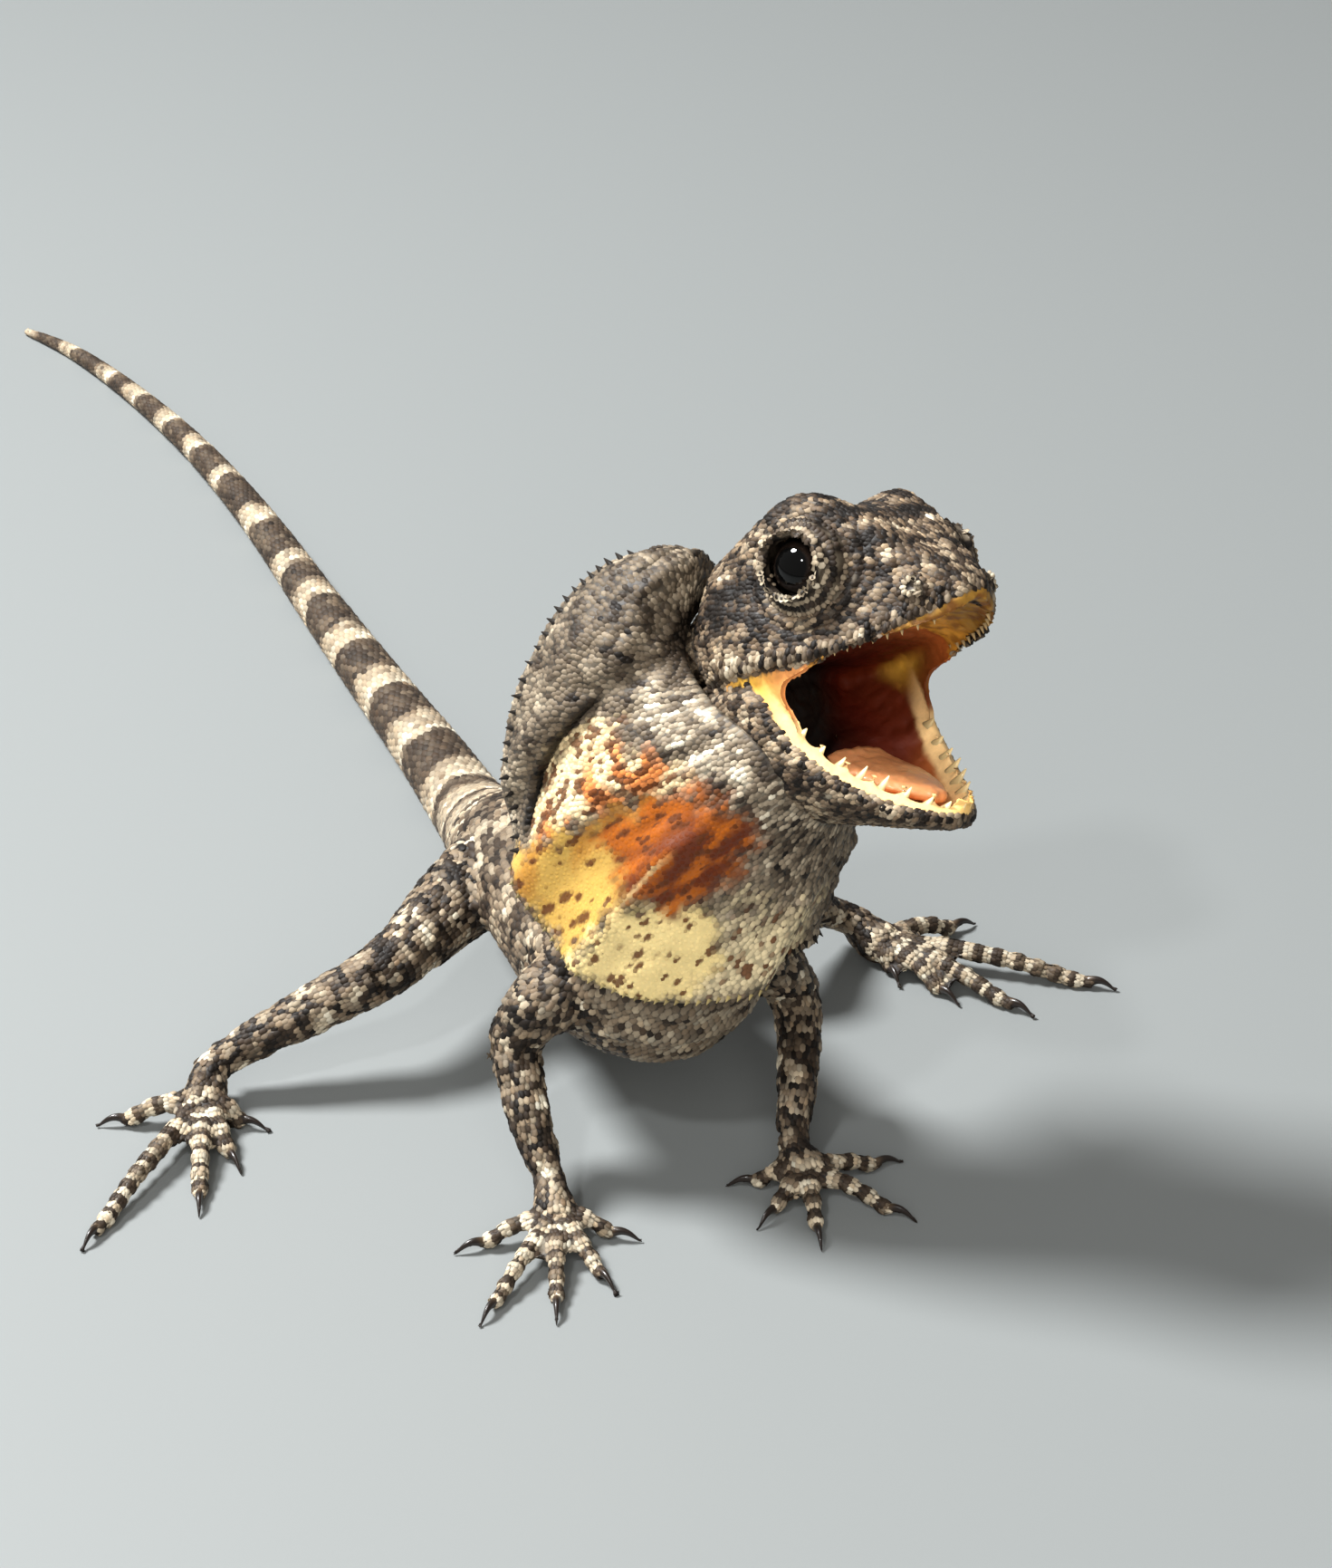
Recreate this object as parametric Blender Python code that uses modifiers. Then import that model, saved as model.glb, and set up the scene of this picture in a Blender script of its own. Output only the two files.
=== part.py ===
"""A hatchling frilled lizard as a still, life-size model: mouth open, frill half spread, standing on four feet.

The animal faces -Y, its left side is +X, and the floor is z = 0. Every size below is in millimetres, and MM turns
it into metres where a mesh is made. The body is a chain of cross-sections from the tail's tip to the back of the
head, cut into named lengths with a thin gap between them. Head, jaw, frill and limbs are set on that chain.
"""

import math

import bmesh
import bpy
from mathutils import Matrix, Vector

MM = 0.001
GAP = 0.3

# Where the middle of the model's box lies on the floor, in the frame that the places below are given in.
BOX_MIDDLE = Vector((-1.05, 58.50, 0.0))

# Posture: the middle between the corners of the mouth, and the three axes of the tilted head.
MOUTH_CORNERS_MIDDLE = Vector((7.0, 10.2, 27.4))
HEAD_FORWARD = Vector((0.430, -0.774, 0.467)).normalized()
HEAD_LEFT = Vector((0.880, 0.349, -0.320)).normalized()
HEAD_LEFT = (HEAD_LEFT - HEAD_FORWARD * HEAD_LEFT.dot(HEAD_FORWARD)).normalized()
HEAD_UP = HEAD_FORWARD.cross(HEAD_LEFT).normalized()

# Body chain, tail tip first: centre, half width, height above and depth below the centre line.
BODY_STATIONS = (
    ((-5.4, 117.6, 0.26), 0.30, 0.30, 0.32),
    ((-3.3, 112.6, 0.50), 0.55, 0.55, 0.58),
    ((-1.3, 104.2, 0.66), 0.75, 0.75, 0.75),
    ((0.1, 94.2, 0.87), 0.98, 0.95, 0.98),
    ((0.7, 83.0, 1.08), 1.22, 1.16, 1.20),
    ((0.7, 71.0, 1.30), 1.48, 1.38, 1.42),
    ((0.8, 60.0, 1.54), 1.76, 1.62, 1.66),
    ((0.9, 51.0, 1.83), 2.05, 1.90, 1.95),
    ((0.6, 43.0, 2.50), 2.35, 2.15, 2.35),
    ((-0.3, 36.5, 5.00), 2.95, 2.60, 2.75),
    ((-0.6, 31.0, 7.30), 4.10, 3.30, 3.40),
    ((-0.4, 25.5, 8.40), 4.90, 3.90, 4.20),
    ((-0.1, 19.5, 9.30), 5.70, 4.30, 4.90),
    ((0.1, 14.8, 10.60), 6.00, 4.40, 5.80),
    ((0.8, 12.4, 14.00), 5.10, 4.10, 5.20),
    ((2.0, 13.0, 18.40), 4.10, 3.40, 4.50),
    ((3.3, 14.2, 22.40), 4.10, 3.20, 4.50),
)
# The neck ends square to the head's own line behind the head, turning to that line over its last few stations.
NECK_TOP_F, NECK_TOP_U = -4.85, 1.2
NECK_TOP_SIZE = (4.3, 3.6, 4.4)
NECK_TURN_SPANS = 3.0
TAIL_CUTS_Y = (95.0, 70.0, 47.0, 34.6)
NECK_CUT_Z = 14.6
BODY_SIDES = 20
TAIL_SIDES = 12

# Upper head, from its back to the snout. Each row has the place along the head, then pairs of half width and height
# for lip, cheek and brow, then the heights of the crown and of the palate. All are measured from the mouth corners.
HEAD_STATIONS = (
    (-4.45, (3.6, 0.2), (4.5, 1.8), (3.2, 4.6), 5.4, 0.2),
    (-2.6, (5.2, -0.1), (5.7, 2.0), (3.9, 5.6), 6.4, 0.1),
    (-0.6, (6.0, 0.0), (6.0, 2.1), (4.2, 6.6), 7.0, 0.3),
    (1.4, (5.95, 0.05), (5.6, 2.2), (4.4, 7.6), 7.4, 1.1),
    (3.4, (5.7, 0.1), (5.1, 2.4), (4.2, 8.3), 7.6, 1.7),
    (5.2, (5.1, 0.2), (4.6, 2.4), (3.8, 7.7), 7.2, 1.9),
    (7.0, (4.3, 0.5), (3.8, 2.4), (2.9, 5.9), 6.1, 2.0),
    (8.5, (3.3, 0.75), (2.9, 2.5), (2.2, 4.7), 5.0, 2.0),
    (9.7, (2.2, 1.1), (2.1, 2.6), (1.6, 3.8), 4.1, 2.0),
    (10.5, (1.2, 1.55), (1.2, 2.6), (0.9, 3.2), 3.4, 2.0),
    (10.85, (0.5, 1.9), (0.5, 2.4), (0.4, 2.75), 2.85, 2.1),
)
LIP_THICKNESS = 0.75

# Lower jaw, from its back to the chin, in the same measures: the rim's place along, height and half width, then
# place along and height of the chin's underside and of the mouth's floor.
JAW_STATIONS = (
    (-3.9, -0.60, 4.5, -4.3, -5.0, -3.9, -1.2),
    (-1.9, -0.50, 5.5, -3.0, -6.4, -2.2, -1.8),
    (0.5, -0.42, 5.95, -1.4, -7.2, -0.8, -3.2),
    (1.3, -1.4, 5.85, 0.3, -7.4, 0.4, -4.4),
    (2.5, -3.6, 5.4, 1.9, -7.6, 1.9, -5.6),
    (3.9, -5.1, 4.7, 3.6, -7.8, 3.6, -6.4),
    (5.3, -6.3, 3.7, 5.2, -8.0, 5.1, -7.1),
    (6.8, -7.25, 2.45, 6.6, -8.3, 6.6, -7.75),
    (7.7, -7.65, 1.35, 7.5, -8.4, 7.4, -8.0),
    (8.15, -7.8, 0.6, 8.0, -8.3, 7.9, -8.0),
)
# From the lip inward the gum rises to the ridge that carries the teeth, square to the open jaw, then falls to the floor.
JAW_LIP = 0.55
GUM_INSET, GUM_RISE = 1.15, 0.55
GUM_FORWARD, GUM_UP = 0.69, 0.72
# Skin web at each corner of the mouth: its upper and its lower edge (along, half width, height), hinge first.
WEB_TOP = ((-3.4, 4.4, 0.4), (0.2, 5.3, 0.4), (3.0, 5.1, 0.4), (5.6, 4.6, 0.4))
WEB_LOW = ((-3.4, 4.2, -1.1), (0.4, 5.0, -1.2), (1.7, 4.8, -2.2), (2.9, 4.35, -3.7))
WEB_THICKNESS = 0.5
WEB_HOLLOW = 0.34
THROAT_FROM, THROAT_TO, THROAT_RADIUS = (1.5, 0.0, -2.5), (-4.4, 0.0, -1.9), 2.0
LOWER_TEETH_PER_SIDE = 7
TOOTH_HEIGHT, TOOTH_RADIUS = 0.75, 0.30

EYE_F, EYE_L, EYE_U = 3.9, 3.60, 4.55
EYE_RADIUS = 1.75
EYE_FACING = (0.22, 1.0, 0.06)
ORBIT_WALL = 0.45
EYE_OPENING = 1.32
LID_THICKNESS = 0.32
NOSTRIL_F, NOSTRIL_L, NOSTRIL_U = 9.0, 2.72, 2.95
EAR_F, EAR_L, EAR_U, EAR_RADIUS = -3.3, 6.0, 2.6, 1.3

# Limbs: joints from shoulder or hip to wrist or ankle, with the radius at each.
RIGHT_ARM = (((-3.2, 14.2, 10.4), 2.3), ((-5.8, 13.6, 9.8), 2.0), ((-7.2, 14.3, 7.2), 1.50),
             ((-7.5, 11.9, 4.5), 1.25), ((-7.3, 9.6, 2.1), 0.95))
LEFT_ARM = (((3.4, 14.2, 10.4), 2.3), ((5.6, 13.4, 9.6), 2.0), ((7.4, 13.4, 6.9), 1.45),
            ((6.6, 11.0, 4.3), 1.22), ((5.2, 8.5, 2.1), 0.92))
RIGHT_LEG = (((-2.4, 30.2, 7.2), 2.7), ((-5.8, 27.6, 7.2), 2.35), ((-10.4, 24.6, 6.2), 1.70),
             ((-15.2, 24.8, 4.2), 1.40), ((-19.6, 25.4, 2.1), 1.00))
LEFT_LEG = (((1.4, 30.2, 7.2), 2.7), ((4.9, 26.8, 7.4), 2.35), ((9.2, 23.8, 6.4), 1.65),
            ((12.4, 25.0, 4.3), 1.35), ((15.6, 26.4, 2.1), 0.98))
# The share of the limb's length at which upper limb, lower limb and foot part.
LIMB_CUTS = {"arm": 0.52, "leg": 0.54}
LIMB_SIDES, TOE_SIDES, CLAW_SIDES = 10, 6, 4

# Feet: the palm's middle, then each toe's tip on the floor, from the inner toe to the outer one, and its arch.
RIGHT_HAND = ((-7.6, 7.8), ((-4.0, 5.6), (-6.7, 2.1), (-10.2, 0.9), (-13.6, 2.2), (-12.9, 8.0)))
LEFT_HAND = ((5.2, 6.7), ((1.6, 8.3), (1.7, 4.4), (3.9, 1.6), (9.2, 2.0), (10.6, 6.9)))
RIGHT_FOOT = ((-21.0, 23.4), ((-18.2, 21.3), (-20.6, 18.2), (-23.6, 15.5), (-29.7, 15.0), (-26.2, 24.9)))
LEFT_FOOT = ((17.2, 24.6), ((17.0, 21.4), (19.2, 18.6), (22.4, 16.2), (27.6, 16.9), (23.4, 25.6)))
HAND_SIZE = {"palm": 1.25, "toe": 0.50, "arch": 1.15}
FOOT_SIZE = {"palm": 1.35, "toe": 0.56, "arch": 1.30}
CLAW_LENGTH, CLAW_RADIUS = 1.7, 0.30

# Frill: matching points of its root, measured from the mouth corners along the head's axes, and of its free edge,
# from the nape down the spread right side, across the throat, and up the folded left side. It is bowed by BULGES.
FRILL_ROOT = ((-5.0, -2.2, 4.2), (-4.8, -3.6, 3.2), (-4.0, -4.9, 1.4), (-1.9, -5.6, -0.9), (0.6, -5.5, -3.0),
              (1.5, -4.6, -5.2), (1.0, -2.6, -6.7), (0.2, -0.6, -7.2), (-0.6, 1.6, -6.9), (-1.6, 3.4, -6.0),
              (-2.9, 4.6, -4.2), (-4.2, 4.9, -1.8), (-4.9, 4.4, 0.8), (-5.0, 3.1, 3.2))
FRILL_EDGE = ((3.4, 17.8, 28.4), (-0.4, 17.4, 31.2), (-3.6, 17.6, 28.9), (-6.2, 17.5, 22.8), (-6.5, 15.6, 16.8),
              (-5.6, 11.4, 13.8), (-3.4, 7.4, 13.1), (0.2, 5.6, 13.4), (3.6, 6.2, 14.0), (5.8, 8.8, 14.8),
              (7.0, 12.0, 16.0), (8.0, 15.4, 18.2), (8.4, 18.0, 21.6), (7.0, 19.6, 25.4))
FRILL_BULGES = (1.2, 2.6, 2.2, 1.6, 1.2, 1.0, 0.8, 0.5, 0.2, 0.1, 0.2, 0.4, 0.7, 0.9)
FRILL_SPLITS = (0.33, 0.60)
FRILL_SPLIT_GAP = 0.006
FRILL_THICKNESS = 0.6
FRILL_ACROSS = 5
FRILL_COLUMNS = 56
# Folds of the half spread sheet: place at the root, place at the edge, height (below zero a groove), half width.
FRILL_FOLDS = ((0.02, 0.03, 0.5, 0.030), (0.10, 0.12, -0.5, 0.030), (0.15, 0.285, -0.9, 0.020), (0.25, 0.325, 0.8, 0.024),
               (0.36, 0.405, 0.7, 0.020), (0.46, 0.48, -0.4, 0.030), (0.56, 0.565, 0.5, 0.022), (0.61, 0.61, -0.5, 0.020),
               (0.67, 0.67, 0.5, 0.022), (0.73, 0.74, -0.5, 0.024), (0.80, 0.81, 0.6, 0.026), (0.88, 0.88, -0.5, 0.026),
               (0.95, 0.95, 0.5, 0.026))
EDGE_TOOTH_LENGTH, EDGE_TOOTH_RADIUS = 0.75, 0.42
EDGE_TOOTH_EVERY = 2

COLOURS = {
    "skin": (0.30, 0.27, 0.24, 1.0),
    "frill_skin": (0.62, 0.42, 0.20, 1.0),
    "mouth_skin": (0.80, 0.52, 0.28, 1.0),
    "tongue_skin": (0.72, 0.38, 0.24, 1.0),
    "eye_dark": (0.01, 0.01, 0.01, 1.0),
}


def clear_scene():
    for item in list(bpy.data.objects):
        bpy.data.objects.remove(item)


def material(name):
    made = bpy.data.materials.get(name)
    if made is None:
        made = bpy.data.materials.new(name)
        made.use_nodes = True
        shader = made.node_tree.nodes["Principled BSDF"]
        shader.inputs["Base Color"].default_value = COLOURS[name]
        shader.inputs["Roughness"].default_value = 0.15 if name == "eye_dark" else 0.7
        shader.inputs["Metallic"].default_value = 0.0
    return made


def collection(name):
    made = bpy.data.collections.new(name)
    bpy.context.scene.collection.children.link(made)
    return made


def add_object(name, mesh, group, skin=None):
    item = bpy.data.objects.new(name, mesh)
    group.objects.link(item)
    if skin:
        mesh.materials.append(material(skin))
    return item


def curve_value(values, place):
    """A smooth curve through the values (numbers or vectors), read at a place from 0 to 1."""
    spans = len(values) - 1
    index = min(int(place * spans), spans - 1)
    t = place * spans - index
    before = values[max(index - 1, 0)]
    start, end = values[index], values[index + 1]
    after = values[min(index + 2, spans)]
    return 0.5 * (
        2 * start + (end - before) * t
        + (2 * before - 5 * start + 4 * end - after) * t * t
        + (3 * start - before - 3 * end + after) * t ** 3
    )


def head_point(forward, left, up):
    return MOUTH_CORNERS_MIDDLE + HEAD_FORWARD * forward + HEAD_LEFT * left + HEAD_UP * up


def loft(name, rings, group, skin=None):
    """A closed mesh over rings of points that match one for one, with a cap over each end."""
    form = bmesh.new()
    loops = [[form.verts.new((p - BOX_MIDDLE) * MM) for p in ring] for ring in rings]
    count = len(loops[0])
    for near, far in zip(loops, loops[1:]):
        for i in range(count):
            j = (i + 1) % count
            form.faces.new((near[i], near[j], far[j], far[i]))
    caps = [form.faces.new(ring) for ring in (loops[0], loops[-1])]
    bmesh.ops.triangulate(form, faces=caps)
    bmesh.ops.recalc_face_normals(form, faces=form.faces)
    mesh = bpy.data.meshes.new(name)
    form.to_mesh(mesh)
    form.free()
    mesh.shade_smooth()
    return add_object(name, mesh, group, skin)


def body_samples(per_span=12):
    """The body chain as many close sections: centre, forward direction, left direction, half width, rise and drop."""
    centres = [Vector(s[0]) for s in BODY_STATIONS] + [head_point(NECK_TOP_F, 0.0, NECK_TOP_U)]
    sizes = [Vector(s[1:]) for s in BODY_STATIONS] + [Vector(NECK_TOP_SIZE)]
    spans = len(centres) - 1
    count = spans * per_span
    samples = []
    for i in range(count + 1):
        place = i / count
        centre = curve_value(centres, place)
        step = 0.5 / count
        ahead = curve_value(centres, min(place + step, 1.0))
        behind = curve_value(centres, max(place - step, 0.0))
        turn = max(0.0, 1.0 - spans * (1.0 - place) / NECK_TURN_SPANS)
        forward = (ahead - behind).normalized().lerp(HEAD_FORWARD, turn).normalized()
        left = Vector((1.0, 0.0, 0.0)).lerp(HEAD_LEFT, turn)
        left = (left - forward * left.dot(forward)).normalized()
        samples.append((centre, forward, left, *curve_value(sizes, place)))
    return samples


def section(sample, sides):
    centre, forward, left, width, rise, drop = sample
    above = forward.cross(left)
    ring = []
    for i in range(sides):
        angle = 2 * math.pi * i / sides
        across, along = math.cos(angle), math.sin(angle)
        height = rise if along > 0 else drop
        ring.append(centre + left * (width * across) + above * (height * along))
    return ring


def flatten_sole(rings, floor=0.0):
    """Presses what lies below the floor's level up onto it, so that it rests on a flat."""
    for ring in rings:
        for point in ring:
            point.z = max(point.z, floor)
    return rings


def body_length(name, samples, group, sides, rings):
    """One length of the body between two cuts, with a small number of rings spread evenly."""
    last = len(samples) - 1
    picked = [samples[round(i * last / (rings - 1))] for i in range(rings)]
    return loft(name, flatten_sole([section(s, sides) for s in picked]), group, "skin")


def cut_between(samples, crosses):
    """Splits the samples where crosses() turns true, moving both new ends back by half a gap."""
    index = next(i for i, s in enumerate(samples) if crosses(s))
    before, after = list(samples[:index]), list(samples[index:])
    tail, start = before[-1], after[0]
    middle = (tail[0] + start[0]) / 2
    before[-1] = (middle - start[1] * GAP / 2, start[1], start[2], *tail[3:])
    after[0] = (middle + start[1] * GAP / 2, *start[1:])
    return before, after


def make_body(group):
    rest = body_samples()
    for number, y in zip((4, 3, 2, 1), TAIL_CUTS_Y):
        piece, rest = cut_between(rest, lambda s, y=y: s[0].y < y)
        body_length(f"tail_{number}", piece, group, TAIL_SIDES, 12 if number > 1 else 10)
    torso, neck = cut_between(rest, lambda s: s[0].z > NECK_CUT_Z and s[0].y < 20)
    return body_length("torso", torso, group, BODY_SIDES, 18), body_length("neck", neck, group, BODY_SIDES, 13)


def mirrored_ring(half, place):
    """A closed ring from half an outline of (left, up) pairs, bottom middle first and top middle last."""
    left_side = [place(across, up) for across, up in half]
    right_side = [place(-across, up) for across, up in reversed(half[1:-1])]
    return left_side + right_side


def subdivide(item, levels=1):
    soft = item.modifiers.new("soften", "SUBSURF")
    soft.levels = soft.render_levels = levels
    return item


def apply_modifiers(item):
    """Swaps the object's mesh for the one that its modifiers make."""
    graph = bpy.context.evaluated_depsgraph_get()
    item.data = bpy.data.meshes.new_from_object(item.evaluated_get(graph))
    item.modifiers.clear()
    return item


def grown(item, group, distance=GAP):
    """A copy of a node with its surface moved outward, to cut a neighbour back by the gap between them."""
    form = bmesh.new()
    form.from_mesh(item.data)
    form.normal_update()
    for vertex, normal in [(v, v.normal.copy()) for v in form.verts]:
        vertex.co += normal * (distance * MM)
    mesh = bpy.data.meshes.new(f"{item.name}_grown")
    form.to_mesh(mesh)
    form.free()
    return add_object(mesh.name, mesh, group)


def copies_of(items, group):
    return [add_object(item.name, item.data.copy(), group) for item in items]


def keep_largest(item):
    """Keeps the largest closed surface of a mesh, so that no scrap of a cut stays."""
    form = bmesh.new()
    form.from_mesh(item.data)
    left_over, shells = set(form.faces), []
    while left_over:
        stack, shell = [left_over.pop()], []
        while stack:
            face = stack.pop()
            shell.append(face)
            for edge in face.edges:
                for other in edge.link_faces:
                    if other in left_over:
                        left_over.remove(other)
                        stack.append(other)
        shells.append(shell)
    shells.sort(key=lambda shell: sum(f.calc_area() for f in shell), reverse=True)
    scraps = [face for shell in shells[1:] for face in shell]
    bmesh.ops.delete(form, geom=scraps, context="FACES")
    bmesh.ops.delete(form, geom=[v for v in form.verts if not v.link_faces], context="VERTS")
    form.to_mesh(item.data)
    form.free()


def combine(item, others, operation, solver="EXACT"):
    """Joins or cuts one object with several others in one Boolean, and removes the others."""
    helpers = bpy.data.collections.new(f"{item.name}_{operation.lower()}")
    bpy.context.scene.collection.children.link(helpers)
    for other in others:
        for home in list(other.users_collection):
            home.objects.unlink(other)
        helpers.objects.link(other)
    change = item.modifiers.new(operation.lower(), "BOOLEAN")
    change.operation = operation
    change.operand_type = "COLLECTION"
    change.collection = helpers
    change.solver = solver
    bpy.context.view_layer.update()
    apply_modifiers(item)
    for other in others:
        bpy.data.objects.remove(other)
    bpy.data.collections.remove(helpers)
    keep_largest(item)
    return item


def cone(start, end, radius, tip_radius, group, sides=6):
    """A closed cone from its root to its tip."""
    axis = end - start
    form = bmesh.new()
    bmesh.ops.create_cone(form, cap_ends=True, cap_tris=True, segments=sides, radius1=radius * MM,
                          radius2=tip_radius * MM, depth=axis.length * MM)
    turn = axis.to_track_quat("Z", "Y").to_matrix().to_4x4()
    place = Matrix.Translation(((start + end) / 2 - BOX_MIDDLE) * MM)
    bmesh.ops.transform(form, matrix=place @ turn, verts=form.verts)
    mesh = bpy.data.meshes.new("cone")
    form.to_mesh(mesh)
    form.free()
    return add_object("cone", mesh, group)


def ball(name, centre, radius, group, skin=None, across=20, rings=12, axis=None):
    form = bmesh.new()
    bmesh.ops.create_uvsphere(form, u_segments=across, v_segments=rings, radius=radius * MM)
    turn = (axis or Vector((0, 0, 1))).to_track_quat("Z", "Y").to_matrix().to_4x4()
    bmesh.ops.transform(form, matrix=Matrix.Translation((centre - BOX_MIDDLE) * MM) @ turn, verts=form.verts)
    mesh = bpy.data.meshes.new(name)
    form.to_mesh(mesh)
    form.free()
    mesh.shade_smooth()
    return add_object(name, mesh, group, skin)


def ring_form(centre, axis, radius, thickness, group, around=18, across=6):
    """A torus, made by turning a small circle about its axis."""
    side = axis.orthogonal().normalized()
    other = axis.cross(side)
    rings = []
    for i in range(around):
        angle = 2 * math.pi * i / around
        out = side * math.cos(angle) + other * math.sin(angle)
        rings.append([centre + out * (radius + thickness * math.cos(2 * math.pi * j / across))
                      + axis * (thickness * math.sin(2 * math.pi * j / across)) for j in range(across)])
    form = bmesh.new()
    loops = [[form.verts.new((p - BOX_MIDDLE) * MM) for p in ring] for ring in rings]
    for i in range(around):
        near, far = loops[i], loops[(i + 1) % around]
        for j in range(across):
            form.faces.new((near[j], near[(j + 1) % across], far[(j + 1) % across], far[j]))
    bmesh.ops.recalc_face_normals(form, faces=form.faces)
    mesh = bpy.data.meshes.new("ring")
    form.to_mesh(mesh)
    form.free()
    return add_object("ring", mesh, group)


def eye_place(side):
    centre = head_point(EYE_F, side * EYE_L, EYE_U)
    forward, across, up = EYE_FACING
    facing = HEAD_FORWARD * forward + HEAD_LEFT * (side * across) + HEAD_UP * up
    return centre, facing.normalized()


def make_head(group):
    rings = []
    for along, lip, cheek, brow, crown, palate in HEAD_STATIONS:
        inner = max(lip[0] - LIP_THICKNESS, 0.1)
        half = (
            (0.0, palate),
            (inner * 0.6, palate * 0.9 + lip[1] * 0.1),
            (inner, palate * 0.45 + lip[1] * 0.55),
            (lip[0] * 0.95, lip[1] - 0.05),
            (lip[0], lip[1] + 0.4),
            cheek,
            ((cheek[0] * 0.45 + brow[0] * 0.55), (cheek[1] + brow[1]) / 2),
            brow,
            (brow[0] * 0.6, max(crown, brow[1] * 0.98)),
            (0.0, crown),
        )
        rings.append(mirrored_ring(half, lambda across, up, along=along: head_point(along, across, up)))
    head = apply_modifiers(subdivide(loft("head", rings, group, "skin")))
    cutter = grown(head, group)
    bumps, hollows = [], [throat_cutter(group)]
    inner = EYE_RADIUS + GAP
    outer = inner + ORBIT_WALL
    lid = math.sqrt(outer ** 2 - EYE_OPENING ** 2)
    for side in (1, -1):
        centre, facing = eye_place(side)
        bumps.append(ball("orbit", centre, outer, group, axis=facing, across=14, rings=10))
        bumps.append(ring_form(centre + facing * lid, facing, EYE_OPENING + 0.25, LID_THICKNESS, group, 14, 4))
        hollows.append(ball("socket", centre, inner, group, axis=facing, across=12, rings=9))
        hollows.append(cone(centre, centre + facing * outer * 1.5, EYE_OPENING, EYE_OPENING, group, 12))
        nostril = head_point(NOSTRIL_F, side * NOSTRIL_L, NOSTRIL_U)
        outward = (HEAD_LEFT * side + HEAD_FORWARD * 0.45 + HEAD_UP * 0.25).normalized()
        bumps.append(ring_form(nostril, outward, 0.42, 0.24, group, 10, 4))
        hollows.append(ball("nostril_pit", nostril, 0.27, group, across=6, rings=4))
        ear = head_point(EAR_F, side * EAR_L, EAR_U)
        hollows.append(ball("ear_pit", ear, EAR_RADIUS, group, across=10, rings=6))
    combine(head, bumps, "UNION", "MANIFOLD")
    combine(head, hollows, "DIFFERENCE", "MANIFOLD")
    for side, word in ((1, "left"), (-1, "right")):
        centre, facing = eye_place(side)
        ball(f"eye_{word}", centre, EYE_RADIUS, group, "eye_dark", axis=facing, across=12, rings=8)
    return cutter


def throat_cutter(group):
    return cone(head_point(*THROAT_FROM), head_point(*THROAT_TO), THROAT_RADIUS, THROAT_RADIUS * 0.5, group, 12)


def make_jaw(head_cutter, group):
    """The lower jaw as a trough: outside from the chin up to the lip, inside down to the mouth's floor."""
    rings = []
    for rim_f, rim_u, width, chin_f, chin_u, floor_f, floor_u in JAW_STATIONS:
        inner = max(width - GUM_INSET - JAW_LIP, 0.1)
        outside = ((0.0, 1.0), (0.55, 0.94), (0.90, 0.62), (1.0, 0.22), (0.985, 0.0))
        inside = ((1.0, 0.42), (0.66, 0.92), (0.0, 1.0))
        half = [(width * across, rim_f + (chin_f - rim_f) * down, rim_u + (chin_u - rim_u) * down)
                for across, down in outside]
        rise = GUM_RISE * min(1.0, max(0.0, (rim_f - 0.2) / 1.5))
        for inset, lift in ((0.5, 0.75), (1.0, 1.0)):
            half.append((max(width - GUM_INSET * inset, 0.12), rim_f + GUM_FORWARD * rise * lift,
                         rim_u + GUM_UP * rise * lift))
        half += [(inner * across, rim_f + (floor_f - rim_f) * down, rim_u + (floor_u - rim_u) * down)
                 for across, down in inside]
        left_side = [head_point(along, across, up) for across, along, up in half]
        right_side = [head_point(along, -across, up) for across, along, up in reversed(half[1:-1])]
        rings.append(left_side + right_side)
    jaw = apply_modifiers(subdivide(loft("jaw", rings, group, "mouth_skin")))
    cutter = grown(jaw, group)
    combine(jaw, lower_teeth(group) + [corner_web(side, group) for side in (1, -1)], "UNION")
    combine(jaw, [throat_cutter(group), head_cutter], "DIFFERENCE")
    return cutter


def corner_web(side, group):
    """The skin stretched between the jaws at one corner of the mouth, with a hollow free edge."""
    top, low = [Vector(p) for p in WEB_TOP], [Vector(p) for p in WEB_LOW]
    rings = []
    count = 6
    for i in range(count):
        down = i / (count - 1)
        reach = 1.0 - WEB_HOLLOW * math.sin(math.pi * down)
        ring = [curve_value(top, share * reach).lerp(curve_value(low, share * reach), down)
                for share in (0.0, 0.5, 1.0)]
        outer = [head_point(p.x, side * (p.y + WEB_THICKNESS / 2), p.z) for p in ring]
        inner = [head_point(p.x, side * (p.y - WEB_THICKNESS / 2), p.z) for p in reversed(ring)]
        rings.append(outer + inner)
    return loft("web", rings, group)


def jaw_rim(share):
    """A point of the jaw's lip, from the mouth's corner (0) to the chin (1): place along, height and half width."""
    rims = [Vector(row[:3]) for row in JAW_STATIONS[3:]]
    return curve_value(rims, share)


def lower_teeth(group):
    """A row of small pointed teeth along each side of the lower jaw, the largest in the middle of the row."""
    teeth = []
    for side in (1, -1):
        for i in range(LOWER_TEETH_PER_SIDE):
            share = i / (LOWER_TEETH_PER_SIDE - 1)
            along, up, width = jaw_rim(0.22 + 0.68 * share)
            height = TOOTH_HEIGHT * (0.75 + 0.35 * math.sin(math.pi * share) + 0.12 * math.sin(5.0 * i))
            across = side * max(width - GUM_INSET, 0.2)
            root = head_point(along - 0.1, across, up - 0.2)
            rise = height + GUM_RISE
            tip = head_point(along + rise * GUM_FORWARD, across * 0.97, up + rise * GUM_UP)
            teeth.append(cone(root, tip, TOOTH_RADIUS, 0.06, group, 4))
    return teeth


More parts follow.
